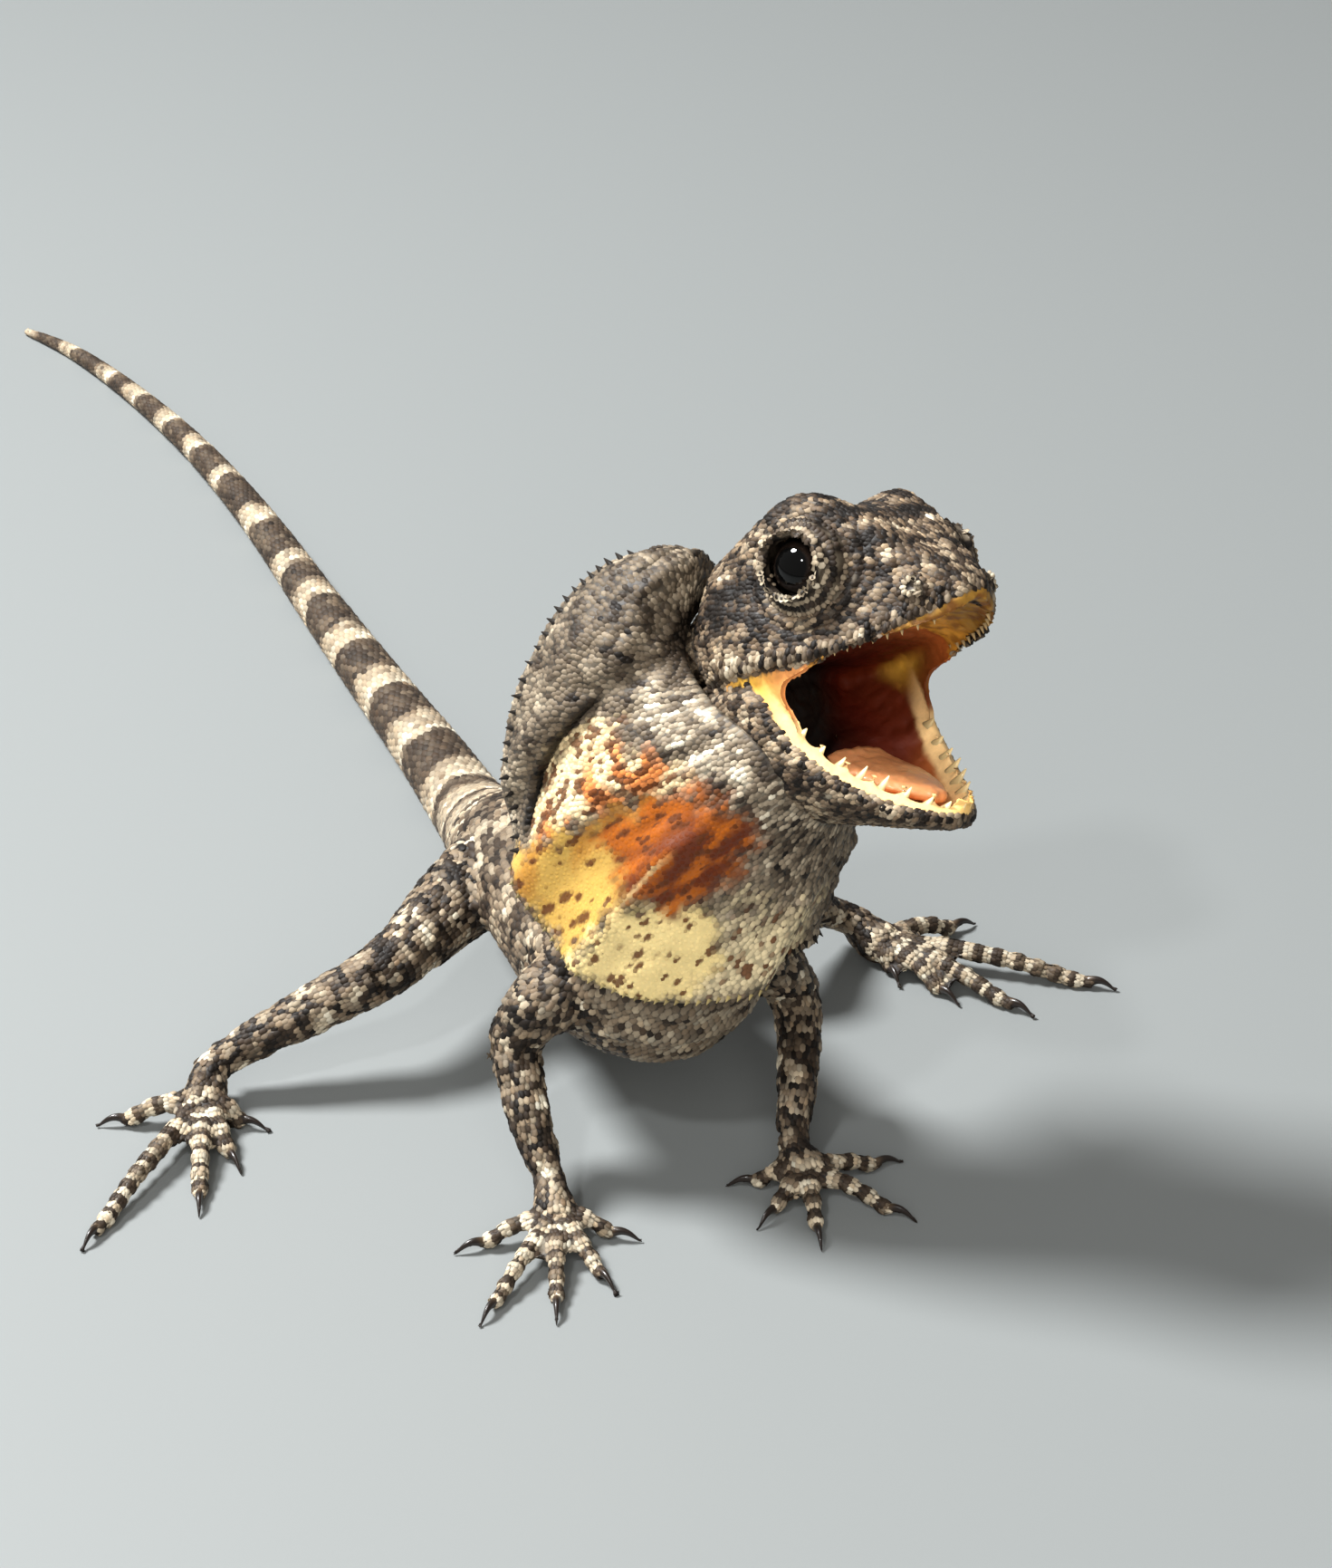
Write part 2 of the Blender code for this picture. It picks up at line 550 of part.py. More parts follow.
def make_tongue(group):
    """The thick tongue lying on the floor of the lower jaw."""
    rings = []
    count = 9
    floors = [Vector((row[5], row[6])) for row in JAW_STATIONS[3:8]]
    for i in range(count):
        share = i / (count - 1)
        along, up = curve_value(floors, 0.12 + 0.80 * share)
        ahead = curve_value(floors, min(0.17 + 0.80 * share, 1.0)) - curve_value(floors, 0.07 + 0.80 * share)
        rise = Vector((-ahead.y, ahead.x)).normalized()
        size = math.sqrt(max(0.05, 1.0 - ((share - 0.42) / 0.60) ** 2))
        width, height = 2.5 * size * (1.0 - 0.42 * share), 0.16 + 0.30 * size
        ring = []
        for j in range(12):
            angle = 2 * math.pi * j / 12
            lift = 1.02 + height * math.sin(angle)
            ring.append(head_point(along + rise.x * lift, width * math.cos(angle), up + rise.y * lift))
        rings.append(ring)
    loft("tongue", rings, group, "tongue_skin")


def tube(points, radii, sides, group, name="tube"):
    """A round tube of changing thickness, as a curve with a bevel that is then made a closed mesh."""
    line = bpy.data.curves.new(name, "CURVE")
    line.dimensions = "3D"
    line.bevel_depth = MM
    line.bevel_resolution = (sides - 4) // 2
    line.use_fill_caps = True
    spline = line.splines.new("POLY")
    spline.points.add(len(points) - 1)
    for place, point, radius in zip(spline.points, points, radii):
        place.co = (*((point - BOX_MIDDLE) * MM), 1.0)
        place.radius = radius
    guide = bpy.data.objects.new(name, line)
    group.objects.link(guide)
    bpy.context.view_layer.update()
    graph = bpy.context.evaluated_depsgraph_get()
    mesh = bpy.data.meshes.new_from_object(guide.evaluated_get(graph))
    form = bmesh.new()
    form.from_mesh(mesh)
    bmesh.ops.remove_doubles(form, verts=form.verts, dist=1e-6)
    bmesh.ops.triangulate(form, faces=form.faces)
    bmesh.ops.recalc_face_normals(form, faces=form.faces)
    form.to_mesh(mesh)
    form.free()
    mesh.materials.clear()
    bpy.data.objects.remove(guide)
    mesh.shade_smooth()
    return add_object(name, mesh, group)


def limb_samples(joints, count=40):
    centres = [Vector(j[0]) for j in joints]
    radii = [j[1] for j in joints]
    return [(curve_value(centres, i / count), curve_value(radii, i / count)) for i in range(count + 1)]


def limb_piece(name, samples, group, rings):
    last = len(samples) - 1
    picked = [samples[round(i * last / (rings - 1))] for i in range(rings)]
    made = tube([p for p, _ in picked], [r for _, r in picked], LIMB_SIDES, group, name)
    made.data.materials.append(material("skin"))
    return made


def floor_flat(item, level=0.0):
    """Presses the points of a mesh that lie below a level up to it."""
    for vertex in item.data.vertices:
        vertex.co.z = max(vertex.co.z, level * MM)
    return item


def toe_route(root, tip, arch):
    """A toe that rises from the palm, arches and comes down flat behind the claw."""
    flat = Vector((tip.x, tip.y, 0.0)) - Vector((root.x, root.y, 0.0))
    reach = flat.length - CLAW_LENGTH * 0.8
    out = flat.normalized()
    heights = (root.z, root.z * 0.35 + arch * 0.72, arch * 0.80, 0.42, 0.36)
    places = (0.0, 0.34, 0.64, 0.90, 1.0)
    return [Vector((root.x, root.y, 0.0)) + out * (reach * p) + Vector((0, 0, h)) for p, h in zip(places, heights)], out


def claw_route(start, out):
    """A claw that leaves the toe, bows upward and comes down to the floor at its point."""
    steps = 4
    route = []
    for i in range(steps):
        share = i / (steps - 1)
        rise = 0.34 + 0.35 * math.sin(math.pi * min(share * 1.05, 1.0)) - 0.26 * share
        route.append(start + out * (CLAW_LENGTH * share - 0.25) + Vector((0, 0, rise - start.z)))
    return route


def make_foot(name, ankle_end, palm_and_toes, size, group):
    """Palm, five arched toes and their claws as one solid, flat underneath at the floor."""
    (palm_x, palm_y), tips = palm_and_toes
    ankle, radius = ankle_end
    palm = Vector((palm_x, palm_y, 0.95))
    route = [ankle, ankle.lerp(palm, 0.35) + Vector((0, 0, 0.15)), palm]
    pieces = [tube(route, [radius, radius * 1.02, size["palm"]], LIMB_SIDES, group)]
    pieces.append(ball("palm", palm, size["palm"], group, across=8, rings=6))
    for tip_x, tip_y in tips:
        tip = Vector((tip_x, tip_y, 0.0))
        toward = (tip - Vector((palm.x, palm.y, 0.0))).normalized()
        root = palm + toward * (size["palm"] * 0.35) + Vector((0, 0, 0.1))
        route, out = toe_route(root, tip, size["arch"])
        thick = size["toe"]
        radii = (thick * 1.35, thick * 1.08, thick * 0.96, thick * 0.94, thick * 0.72)
        pieces.append(tube(route, radii, TOE_SIDES, group))
        claw = claw_route(route[-1], out)
        thin = CLAW_RADIUS
        pieces.append(tube(claw, (thin * 1.1, thin * 0.92, thin * 0.6, thin * 0.22), CLAW_SIDES, group))
    foot = pieces[0]
    foot.name = name
    foot.data.materials.append(material("skin"))
    combine(foot, pieces[1:], "UNION")
    floor_flat(foot)
    return foot


def make_limb(word, kind, joints, palm_and_toes, size, torso_grown, group):
    """Upper limb, lower limb and foot, cut from one smooth limb with thin gaps, the first trimmed to the torso."""
    upper_name, lower_name, foot_name = {"arm": ("upper_arm", "forearm", "hand"), "leg": ("thigh", "shin", "foot")}[kind]
    samples = limb_samples(joints)
    middle = round(LIMB_CUTS[kind] * (len(samples) - 1))

    def shifted(index, distance):
        point, radius = samples[index]
        other = samples[min(index + 1, len(samples) - 1)][0]
        if other == point:
            other = point + (point - samples[index - 1][0])
        return point + (other - point).normalized() * distance, radius

    upper = samples[:middle] + [shifted(middle, -GAP / 2)]
    lower = [shifted(middle, GAP / 2)] + samples[middle + 1:-1] + [shifted(len(samples) - 1, -GAP / 2)]
    thigh = limb_piece(f"{upper_name}_{word}", upper, group, 9)
    combine(thigh, copies_of([torso_grown], group), "DIFFERENCE")
    shin = limb_piece(f"{lower_name}_{word}", lower, group, 9)
    combine(shin, [grown(thigh, group)], "DIFFERENCE")
    foot = make_foot(f"{foot_name}_{word}", shifted(len(samples) - 1, GAP / 2), palm_and_toes, size, group)
    combine(foot, [grown(shin, group)], "DIFFERENCE")
    return thigh


def frill_fold(place, share):
    """How far the folds lift the sheet forward at a place round it and a share of the way to its edge."""
    lift = 0.0
    for at_root, at_edge, height, half_width in FRILL_FOLDS:
        middle = at_root + (at_edge - at_root) * share
        lift += height * math.exp(-((place - middle) / half_width) ** 2)
    return lift * (0.25 + 0.75 * share) * min(1.0, share * 2.5)


def frill_surface(start, end, columns):
    """Points of the frill between two places round it, from its root outward, folded and bowed."""
    roots = [head_point(*p) for p in FRILL_ROOT]
    edges = [Vector(p) for p in FRILL_EDGE]
    grid = []
    for i in range(columns + 1):
        place = start + (end - start) * i / columns
        root, edge = curve_value(roots, place), curve_value(edges, place)
        ahead = curve_value(edges, min(place + 0.01, 1.0)) - curve_value(edges, max(place - 0.01, 0.0))
        out = edge - root
        normal = out.cross(ahead).normalized()
        column = []
        for j in range(FRILL_ACROSS + 1):
            share = j / FRILL_ACROSS
            depth = curve_value(FRILL_BULGES, place) * math.sin(math.pi * share) ** 0.8
            depth += frill_fold(place, share)
            column.append(root + out * share + normal * depth)
        grid.append(column)
    return grid


def frill_sheet(name, grid, group):
    form = bmesh.new()
    points = [[form.verts.new((p - BOX_MIDDLE) * MM) for p in column] for column in grid]
    for near, far in zip(points, points[1:]):
        for j in range(len(near) - 1):
            form.faces.new((near[j], near[j + 1], far[j + 1]))
            form.faces.new((near[j], far[j + 1], far[j]))
    bmesh.ops.recalc_face_normals(form, faces=form.faces)
    mesh = bpy.data.meshes.new(name)
    form.to_mesh(mesh)
    form.free()
    mesh.shade_smooth()
    sheet = add_object(name, mesh, group, "frill_skin")
    wall = sheet.modifiers.new("thickness", "SOLIDIFY")
    wall.thickness = FRILL_THICKNESS * MM
    wall.offset = 0.0
    return apply_modifiers(sheet)


def edge_teeth(grid, group):
    """The row of pointed scales along the frill's free edge."""
    teeth = []
    for i in range(1, len(grid) - 1, EDGE_TOOTH_EVERY):
        inner, rim = grid[i][-2], grid[i][-1]
        out = (rim - inner).normalized()
        size = 0.8 + 0.2 * math.sin(2.1 * i)
        teeth.append(cone(rim - out * 0.45, rim + out * EDGE_TOOTH_LENGTH * size, EDGE_TOOTH_RADIUS, 0.08, group, 4))
    return teeth


def make_frill(cutters, group):
    """The frill in three nodes, side lobes and throat, each trimmed to the flesh that it grows from."""
    first, second = FRILL_SPLITS
    for name, start, end in (
        ("frill_right", 0.0, first - FRILL_SPLIT_GAP),
        ("frill_throat", first + FRILL_SPLIT_GAP, second - FRILL_SPLIT_GAP),
        ("frill_left", second + FRILL_SPLIT_GAP, 1.0),
    ):
        grid = frill_surface(start, end, round(FRILL_COLUMNS * (end - start)))
        lobe = frill_sheet(name, grid, group)
        combine(lobe, edge_teeth(grid, group), "UNION")
        combine(lobe, copies_of(cutters, group), "DIFFERENCE")
    for cutter in cutters:
        bpy.data.objects.remove(cutter)


def main():
    clear_scene()
    lizard = collection("frilled_lizard")
    torso, neck = make_body(lizard)
    torso_grown, neck_grown = grown(torso, lizard), grown(neck, lizard)
    head_grown = make_head(lizard)
    jaw_grown = make_jaw(*copies_of([head_grown], lizard), lizard)
    make_tongue(lizard)
    arms = [
        make_limb("right", "arm", RIGHT_ARM, RIGHT_HAND, HAND_SIZE, torso_grown, lizard),
        make_limb("left", "arm", LEFT_ARM, LEFT_HAND, HAND_SIZE, torso_grown, lizard),
    ]
    make_limb("right", "leg", RIGHT_LEG, RIGHT_FOOT, FOOT_SIZE, torso_grown, lizard)
    make_limb("left", "leg", LEFT_LEG, LEFT_FOOT, FOOT_SIZE, torso_grown, lizard)
    shoulders = [grown(arm, lizard) for arm in arms]
    make_frill([torso_grown, neck_grown, head_grown, jaw_grown] + shoulders, lizard)


main()
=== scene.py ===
# %% [markdown]
# A hatchling frilled lizard, standing with its mouth open and its frill half spread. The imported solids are
# the frame, and everything here is dressed over them: one skin, thousands of small keeled scales, a thin
# pleated frill, glossy eyes, teeth, tongue and claws. Sizes are in millimetres, the natural unit for an
# animal that fits in a hand, and MM turns them into Blender's metres.

# %% The frame
import math
import random
from collections import namedtuple

import bpy
import numpy as np
from mathutils import Matrix, Vector, noise
from mathutils.bvhtree import BVHTree
from mathutils.kdtree import KDTree


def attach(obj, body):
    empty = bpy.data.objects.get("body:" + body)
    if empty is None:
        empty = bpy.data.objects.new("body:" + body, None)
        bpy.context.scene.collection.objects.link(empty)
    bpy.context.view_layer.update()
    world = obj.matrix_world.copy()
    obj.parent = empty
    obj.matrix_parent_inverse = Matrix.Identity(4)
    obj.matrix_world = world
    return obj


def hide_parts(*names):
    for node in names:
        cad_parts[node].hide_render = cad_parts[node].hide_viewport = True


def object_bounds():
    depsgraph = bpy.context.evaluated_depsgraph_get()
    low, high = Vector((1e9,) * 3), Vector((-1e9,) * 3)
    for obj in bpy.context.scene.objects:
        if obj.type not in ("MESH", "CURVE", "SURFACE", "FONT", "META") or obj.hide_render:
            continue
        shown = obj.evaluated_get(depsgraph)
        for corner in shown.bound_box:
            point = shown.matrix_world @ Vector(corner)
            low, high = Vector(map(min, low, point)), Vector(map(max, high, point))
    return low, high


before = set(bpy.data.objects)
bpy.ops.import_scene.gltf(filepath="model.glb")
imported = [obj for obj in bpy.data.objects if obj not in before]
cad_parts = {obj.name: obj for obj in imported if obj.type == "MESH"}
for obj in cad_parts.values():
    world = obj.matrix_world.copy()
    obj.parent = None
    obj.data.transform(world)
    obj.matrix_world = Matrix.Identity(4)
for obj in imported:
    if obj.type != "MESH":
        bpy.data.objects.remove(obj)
cad_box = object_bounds()
MM = 0.001
# The middle of the model's underside, in the millimetres that the solids were drawn in.
BOX_MIDDLE = Vector((-1.05, 58.50, 0.0))
box_mm = [[round(value / MM, 1) for value in corner] for corner in cad_box]
print("solids in the frame:", len(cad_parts), "box in mm:", box_mm)

# %% [markdown]
# The head is tilted and turned, so its details are placed along its own three axes: forward to the snout,
# left, and up through the crown, from the middle between the corners of the mouth. A place on the body is
# given in the same millimetres that the solids were drawn in.

# %% Posture
MOUTH_MIDDLE = Vector((7.0, 10.2, 27.4))
HEAD_FORWARD = Vector((0.430, -0.774, 0.467)).normalized()
HEAD_LEFT = Vector((0.880, 0.349, -0.320))
HEAD_LEFT = (HEAD_LEFT - HEAD_FORWARD * HEAD_LEFT.dot(HEAD_FORWARD)).normalized()
HEAD_UP = HEAD_FORWARD.cross(HEAD_LEFT).normalized()


def from_mm(point):
    """A place in drawing millimetres as a place in the model's metres."""
    return (Vector(point) - BOX_MIDDLE) * MM


def as_mm(point):
    """A place in the model's metres as drawing millimetres."""
    return point / MM + BOX_MIDDLE


def head_mm(forward, left, up):
    return MOUTH_MIDDLE + HEAD_FORWARD * forward + HEAD_LEFT * left + HEAD_UP * up


def head_axes(point):
    """How far a place in drawing millimetres is forward, left and up from the mouth's corners."""
    away = point - MOUTH_MIDDLE
    return away.dot(HEAD_FORWARD), away.dot(HEAD_LEFT), away.dot(HEAD_UP)


def along_middle(*rows):
    """Places in the head's middle plane, each given forward and up."""
    return [head_mm(forward, 0.0, up) for forward, up in rows]


def smooth_read(values, place):
    """A smooth curve through numbers or vectors, read at a place from 0 to 1."""
    spans = len(values) - 1
    index = min(int(place * spans), spans - 1)
    t = place * spans - index
    before, start = values[max(index - 1, 0)], values[index]
    end, after = values[index + 1], values[min(index + 2, spans)]
    bend = (2 * before - 5 * start + 4 * end - after) * t * t
    return 0.5 * (2 * start + (end - before) * t + bend + (3 * start - before - 3 * end + after) * t ** 3)


def course(values, place):
    """Which way a smooth curve runs at a place."""
    return smooth_read(values, min(place + 0.01, 1.0)) - smooth_read(values, max(place - 0.01, 0.0))


def ramp(value, low, high):
    """0 below low, 1 above high, and smooth between them."""
    t = min(1.0, max(0.0, (value - low) / (high - low)))
    return t * t * (3 - 2 * t)


print("head points forward along", tuple(round(v, 2) for v in HEAD_FORWARD))

# %% [markdown]
# Blender's operators act on whatever is selected, so each step first selects only its own pieces. A finished
# piece has its modifiers applied and its object at the origin, so patterns on object coordinates stay where
# they belong.

# %% Helpers for operators
def select_only(*items):
    bpy.ops.object.select_all(action="DESELECT")
    for item in items:
        item.select_set(True)
    bpy.context.view_layer.objects.active = items[0]


def apply_all(item):
    select_only(item)
    for modifier in list(item.modifiers):
        bpy.ops.object.modifier_apply(modifier=modifier.name)


def settle(item):
    """Puts the object's place, turn and size into its mesh."""
    select_only(item)
    bpy.ops.object.transform_apply(location=True, rotation=True, scale=True)


def edit_whole(item):
    """Opens the item's mesh for editing, with all of it selected."""
    select_only(item)
    bpy.ops.object.mode_set(mode="EDIT")
    bpy.ops.mesh.select_all(action="SELECT")


def edit_done():
    bpy.ops.object.mode_set(mode="OBJECT")


def named(item, name):
    item.name = item.data.name = name
    return item


def displaced(item, distance):
    push = item.modifiers.new("push", "DISPLACE")
    push.mid_level = 0.0
    push.strength = distance * MM


def softened(item, levels):
    soft = item.modifiers.new("soften", "SUBSURF")
    soft.levels = soft.render_levels = levels


def triangles(item):
    return sum(len(face.vertices) - 2 for face in item.data.polygons)


# %% [markdown]
# The skin is one surface over all the flesh, so that no cut between the solids shows. Copies of the solids
# are swelled until they close the gaps, joined, remade by a voxel remesh as one shell, smoothed, and drawn
# back in so far that the scales on top end where the solids do.

# %% One skin over the flesh
FLESH = ["torso", "neck", "tail_1", "tail_2", "tail_3", "tail_4"]
FLESH += [f"{part}_{side}" for part in ("upper_arm", "forearm", "hand", "thigh", "shin", "foot")
          for side in ("left", "right")]
HEAD_FLESH = ["head", "jaw"]
SWELL = 0.22
COAT_DEPTH = 0.08
SKIN_VOXEL = 0.18
SKIN_TRIANGLES = 195000
MERGE_DISTANCE, SHARP_DEGREES = 0.002, 50


def copy_of(node):
    """A loose copy of a solid, merged along its seams, with its sharp edges held against softening."""
    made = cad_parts[node].copy()
    made.data = made.data.copy()
    made.parent = None
    made.matrix_world = Matrix.Identity(4)
    bpy.context.scene.collection.objects.link(made)
    edit_whole(made)
    bpy.ops.mesh.remove_doubles(threshold=MERGE_DISTANCE * MM)
    bpy.ops.mesh.select_all(action="DESELECT")
    bpy.ops.mesh.edges_select_sharp(sharpness=math.radians(SHARP_DEGREES))
    bpy.ops.transform.edge_crease(value=1.0)
    edit_done()
    return made


copies = []
for node in FLESH + HEAD_FLESH:
    copy = copy_of(node)
    if node in FLESH:
        softened(copy, 1)
    displaced(copy, SWELL)
    apply_all(copy)
    copies.append(copy)
# A squashed ball closes the back of the mouth, so that the throat is a dark hollow and no way through.
# The mouth's colours paint it near black, as painted shade.
THROAT_F, THROAT_U = -2.7, -1.5
THROAT_RADII = (1.6, 4.5, 2.6)
bpy.ops.mesh.primitive_uv_sphere_add(segments=24, ring_count=16, radius=MM)
lining = bpy.context.object
lining.scale = THROAT_RADII
lining.rotation_euler = Matrix((HEAD_FORWARD, HEAD_LEFT, HEAD_UP)).transposed().to_euler()
lining.location = from_mm(head_mm(THROAT_F, 0.0, THROAT_U))
settle(lining)
copies.append(lining)
select_only(*copies)
bpy.ops.object.join()
skin = named(bpy.context.view_layer.objects.active, "lizard_skin")
shell = skin.modifiers.new("shell", "REMESH")
shell.mode = "VOXEL"
shell.voxel_size = SKIN_VOXEL * MM
calm = skin.modifiers.new("calm", "SMOOTH")
calm.factor = 0.5
calm.iterations = 3
displaced(skin, -SWELL - COAT_DEPTH)
apply_all(skin)
print("skin triangles before thinning:", triangles(skin))

# %% [markdown]
# The head needs the finest mesh, and the body doesn't. A vertex group for everything behind the head's back
# lets the Decimate modifier thin only that.

# %% Thin the body's mesh
HEAD_REACH = 13.5
HEAD_CENTRE = head_mm(3.0, 0.0, 0.0)
body_group = skin.vertex_groups.new(name="body")
behind = [v.index for v in skin.data.vertices if (as_mm(v.co) - HEAD_CENTRE).length > HEAD_REACH]
body_group.add(behind, 1.0, "ADD")
thin = skin.modifiers.new("thin", "DECIMATE")
thin.vertex_group = body_group.name
thin.ratio = min(1.0, SKIN_TRIANGLES / triangles(skin))
apply_all(skin)
skin.vertex_groups.clear()
skin.data.shade_smooth()
print("skin triangles:", triangles(skin))

# %% [markdown]
# The frill is one sheet of skin, rooted on the cheeks and under the jaw and half unfolded. It starts as a
# flat grid. Each point is read as a place round the head and a share of the way from root to free edge, and
# moved to where the unfolded sheet has it. Solidify later gives the sheet its thickness. At the side its
# margin laps over the speckled panel, which leaves a step, and the dark line along it is painted shadow.

# %% The frill's sheet
FRILL_ROOT = ((-5.0, -2.2, 4.2), (-4.8, -3.6, 3.2), (-4.0, -4.9, 1.4), (-1.9, -5.6, -0.9),
              (0.6, -5.5, -3.0), (1.5, -4.6, -5.2), (1.0, -2.6, -6.7), (0.2, -0.6, -7.2),
              (-0.6, 1.6, -6.9), (-1.6, 3.4, -6.0), (-2.9, 4.6, -4.2), (-4.2, 4.9, -1.8),
              (-4.9, 4.4, 0.8), (-5.0, 3.1, 3.2))
FRILL_EDGE = ((3.4, 17.8, 28.4), (-0.4, 17.4, 31.2), (-3.6, 17.6, 28.9), (-6.2, 17.5, 22.8),
              (-6.5, 15.6, 16.8), (-5.6, 11.4, 13.8), (-3.4, 7.4, 13.1), (0.2, 5.6, 13.4),
              (3.6, 6.2, 14.0), (5.8, 8.8, 14.8), (7.0, 12.0, 16.0), (8.0, 15.4, 18.2),
              (8.4, 18.0, 21.6), (7.0, 19.6, 25.4))
FRILL_BULGES = (1.2, 2.6, 2.2, 1.6, 1.2, 1.0, 0.8, 0.5, 0.2, 0.1, 0.2, 0.4, 0.7, 0.9)
# Folds: place at the root, place at the edge, height (below zero a groove), half width.
FRILL_FOLDS = ((0.02, 0.03, 0.5, 0.030), (0.10, 0.12, -0.5, 0.030), (0.15, 0.285, -0.9, 0.020),
               (0.25, 0.325, 0.8, 0.024), (0.36, 0.405, 0.7, 0.020), (0.46, 0.48, -0.4, 0.030),
               (0.56, 0.565, 0.5, 0.022), (0.61, 0.61, -0.5, 0.020), (0.67, 0.67, 0.5, 0.022),
               (0.73, 0.74, -0.5, 0.024), (0.80, 0.81, 0.6, 0.026), (0.88, 0.88, -0.5, 0.026),
               (0.95, 0.95, 0.5, 0.026))
# Where the margin laps over the panel: place round the head, share outward.
LAP_LINE = ((0.200, 0.44), (0.217, 0.55), (0.237, 0.69), (0.258, 0.81), (0.278, 0.86), (0.305, 0.90))
LAP_HEIGHT = 0.55
FRILL_WALL = 0.30
FRILL_COLUMNS, FRILL_ROWS = 520, 90
root_points = [head_mm(*p) for p in FRILL_ROOT]
edge_points = [Vector(p) for p in FRILL_EDGE]


def frill_axes(place):
    """Root point, way out to the edge, and the sheet's normal, at a place round the head from 0 to 1."""
    root = smooth_read(root_points, place)
    out = smooth_read(edge_points, place) - root
    return root, out, out.cross(course(edge_points, place)).normalized()


def lap(place, share):
    """How far outside the lapping margin's line a place lies, as a share, and how strong the lap is there."""
    line = np.interp(place, [p for p, _ in LAP_LINE], [s for _, s in LAP_LINE])
    return share - line, ramp(place, 0.196, 0.222) * (1.0 - ramp(place, 0.280, 0.305))


def sheet_noise(place, share, around, outward, seed):
    """Soft noise on the sheet, finer round the head or outward where those numbers are larger."""
    return noise.noise(Vector((place * around, share * outward, seed)))


def frill_depth(place, share):
    """How far the sheet stands off the line from root to edge: its bow, folds, lap and wrinkles."""
    lift = 0.0
    for at_root, at_edge, height, half_width in FRILL_FOLDS:
        middle = at_root + (at_edge - at_root) * share
        lift += height * math.exp(-((place - middle) / half_width) ** 2)
    depth = smooth_read(FRILL_BULGES, place) * math.sin(math.pi * share) ** 0.8
    depth += lift * (0.25 + 0.75 * share) * min(1.0, share * 2.5)
    outside, strength = lap(place, share)
    depth += LAP_HEIGHT * strength * ramp(outside, -0.012, 0.020) * (1.0 - ramp(outside, 0.10, 0.30))
    wrinkles = sheet_noise(place, share, 60.0, 5.0, 0.3) * (1.0 - ramp(share, 0.45, 0.75))
    lumps = sheet_noise(place, share, 42.0, 11.0, 4.3)
    rough = 1.0 - ramp(place, 0.19, 0.26) + ramp(place, 0.56, 0.64)
    broad = sheet_noise(place, share, 17.0, 4.0, 8.1)
    unrest = 0.15 * wrinkles + (0.06 + 0.16 * rough) * lumps + 0.30 * rough * broad
    return depth + unrest * ramp(share, 0.0, 0.12)


def frill_point(place, share):
    root, out, normal = frill_axes(place)
    return root + out * share + normal * frill_depth(place, share)


bpy.ops.mesh.primitive_grid_add(x_subdivisions=FRILL_COLUMNS, y_subdivisions=FRILL_ROWS, size=1.0,
                                calc_uvs=True)
frill = named(bpy.context.object, "frill_sheet")
frill_places = [(vertex.co.x + 0.5, vertex.co.y + 0.5) for vertex in frill.data.vertices]
for vertex, (place, share) in zip(frill.data.vertices, frill_places):
    vertex.co = from_mm(frill_point(place, share))
frill.data.shade_smooth()
print("frill width at the throat in mm:", round(frill_axes(0.5)[1].length, 1))

# %% [markdown]
# Scales lie in rows along the body and overlap towards the tail and the toes. A line through each part of the
# body, with its thickness and the size of its scales, tells which way they lie and where the rows run.

# %% Lines through the body
BODY_LINE = ((3.3, 14.2, 22.4), (2.0, 13.0, 18.4), (0.8, 12.4, 14.0), (0.1, 14.8, 10.6), (-0.1, 19.5, 9.3),
             (-0.4, 25.5, 8.4), (-0.6, 31.0, 7.3), (-0.3, 36.5, 5.0), (0.6, 43.0, 2.5), (0.9, 51.0, 1.83),
             (0.8, 60.0, 1.54), (0.7, 71.0, 1.3), (0.7, 83.0, 1.08), (0.1, 94.2, 0.87), (-1.3, 104.2, 0.66),
             (-3.3, 112.6, 0.5), (-5.4, 117.6, 0.26))
BODY_REACH = (3.8, 4.0, 4.8, 5.4, 5.0, 4.4, 3.7, 2.8, 2.3, 1.95, 1.7, 1.45, 1.2, 0.97, 0.75, 0.56, 0.30)
BODY_PITCH = (0.36, 0.36, 0.36, 0.36, 0.40, 0.44, 0.46, 0.46, 0.45, 0.43, 0.41, 0.38, 0.35, 0.33, 0.30,
              0.27, 0.24)
LIMB_LINES = {
    "right_arm": (((-3.2, 14.2, 10.4), 2.3), ((-5.8, 13.6, 9.8), 2.0), ((-7.2, 14.3, 7.2), 1.50),
                  ((-7.5, 11.9, 4.5), 1.25), ((-7.3, 9.6, 2.1), 0.95), ((-7.6, 7.8, 0.95), 1.15)),
    "left_arm": (((3.4, 14.2, 10.4), 2.3), ((5.6, 13.4, 9.6), 2.0), ((7.4, 13.4, 6.9), 1.45),
                 ((6.6, 11.0, 4.3), 1.22), ((5.2, 8.5, 2.1), 0.92), ((5.2, 6.7, 0.95), 1.15)),
    "right_leg": (((-2.4, 30.2, 7.2), 2.7), ((-5.8, 27.6, 7.2), 2.35), ((-10.4, 24.6, 6.2), 1.70),
                  ((-15.2, 24.8, 4.2), 1.40), ((-19.6, 25.4, 2.1), 1.00), ((-21.0, 23.4, 0.95), 1.25)),
    "left_leg": (((1.4, 30.2, 7.2), 2.7), ((4.9, 26.8, 7.4), 2.35), ((9.2, 23.8, 6.4), 1.65),
                 ((12.4, 25.0, 4.3), 1.35), ((15.6, 26.4, 2.1), 0.98), ((17.2, 24.6, 0.95), 1.25)),
}
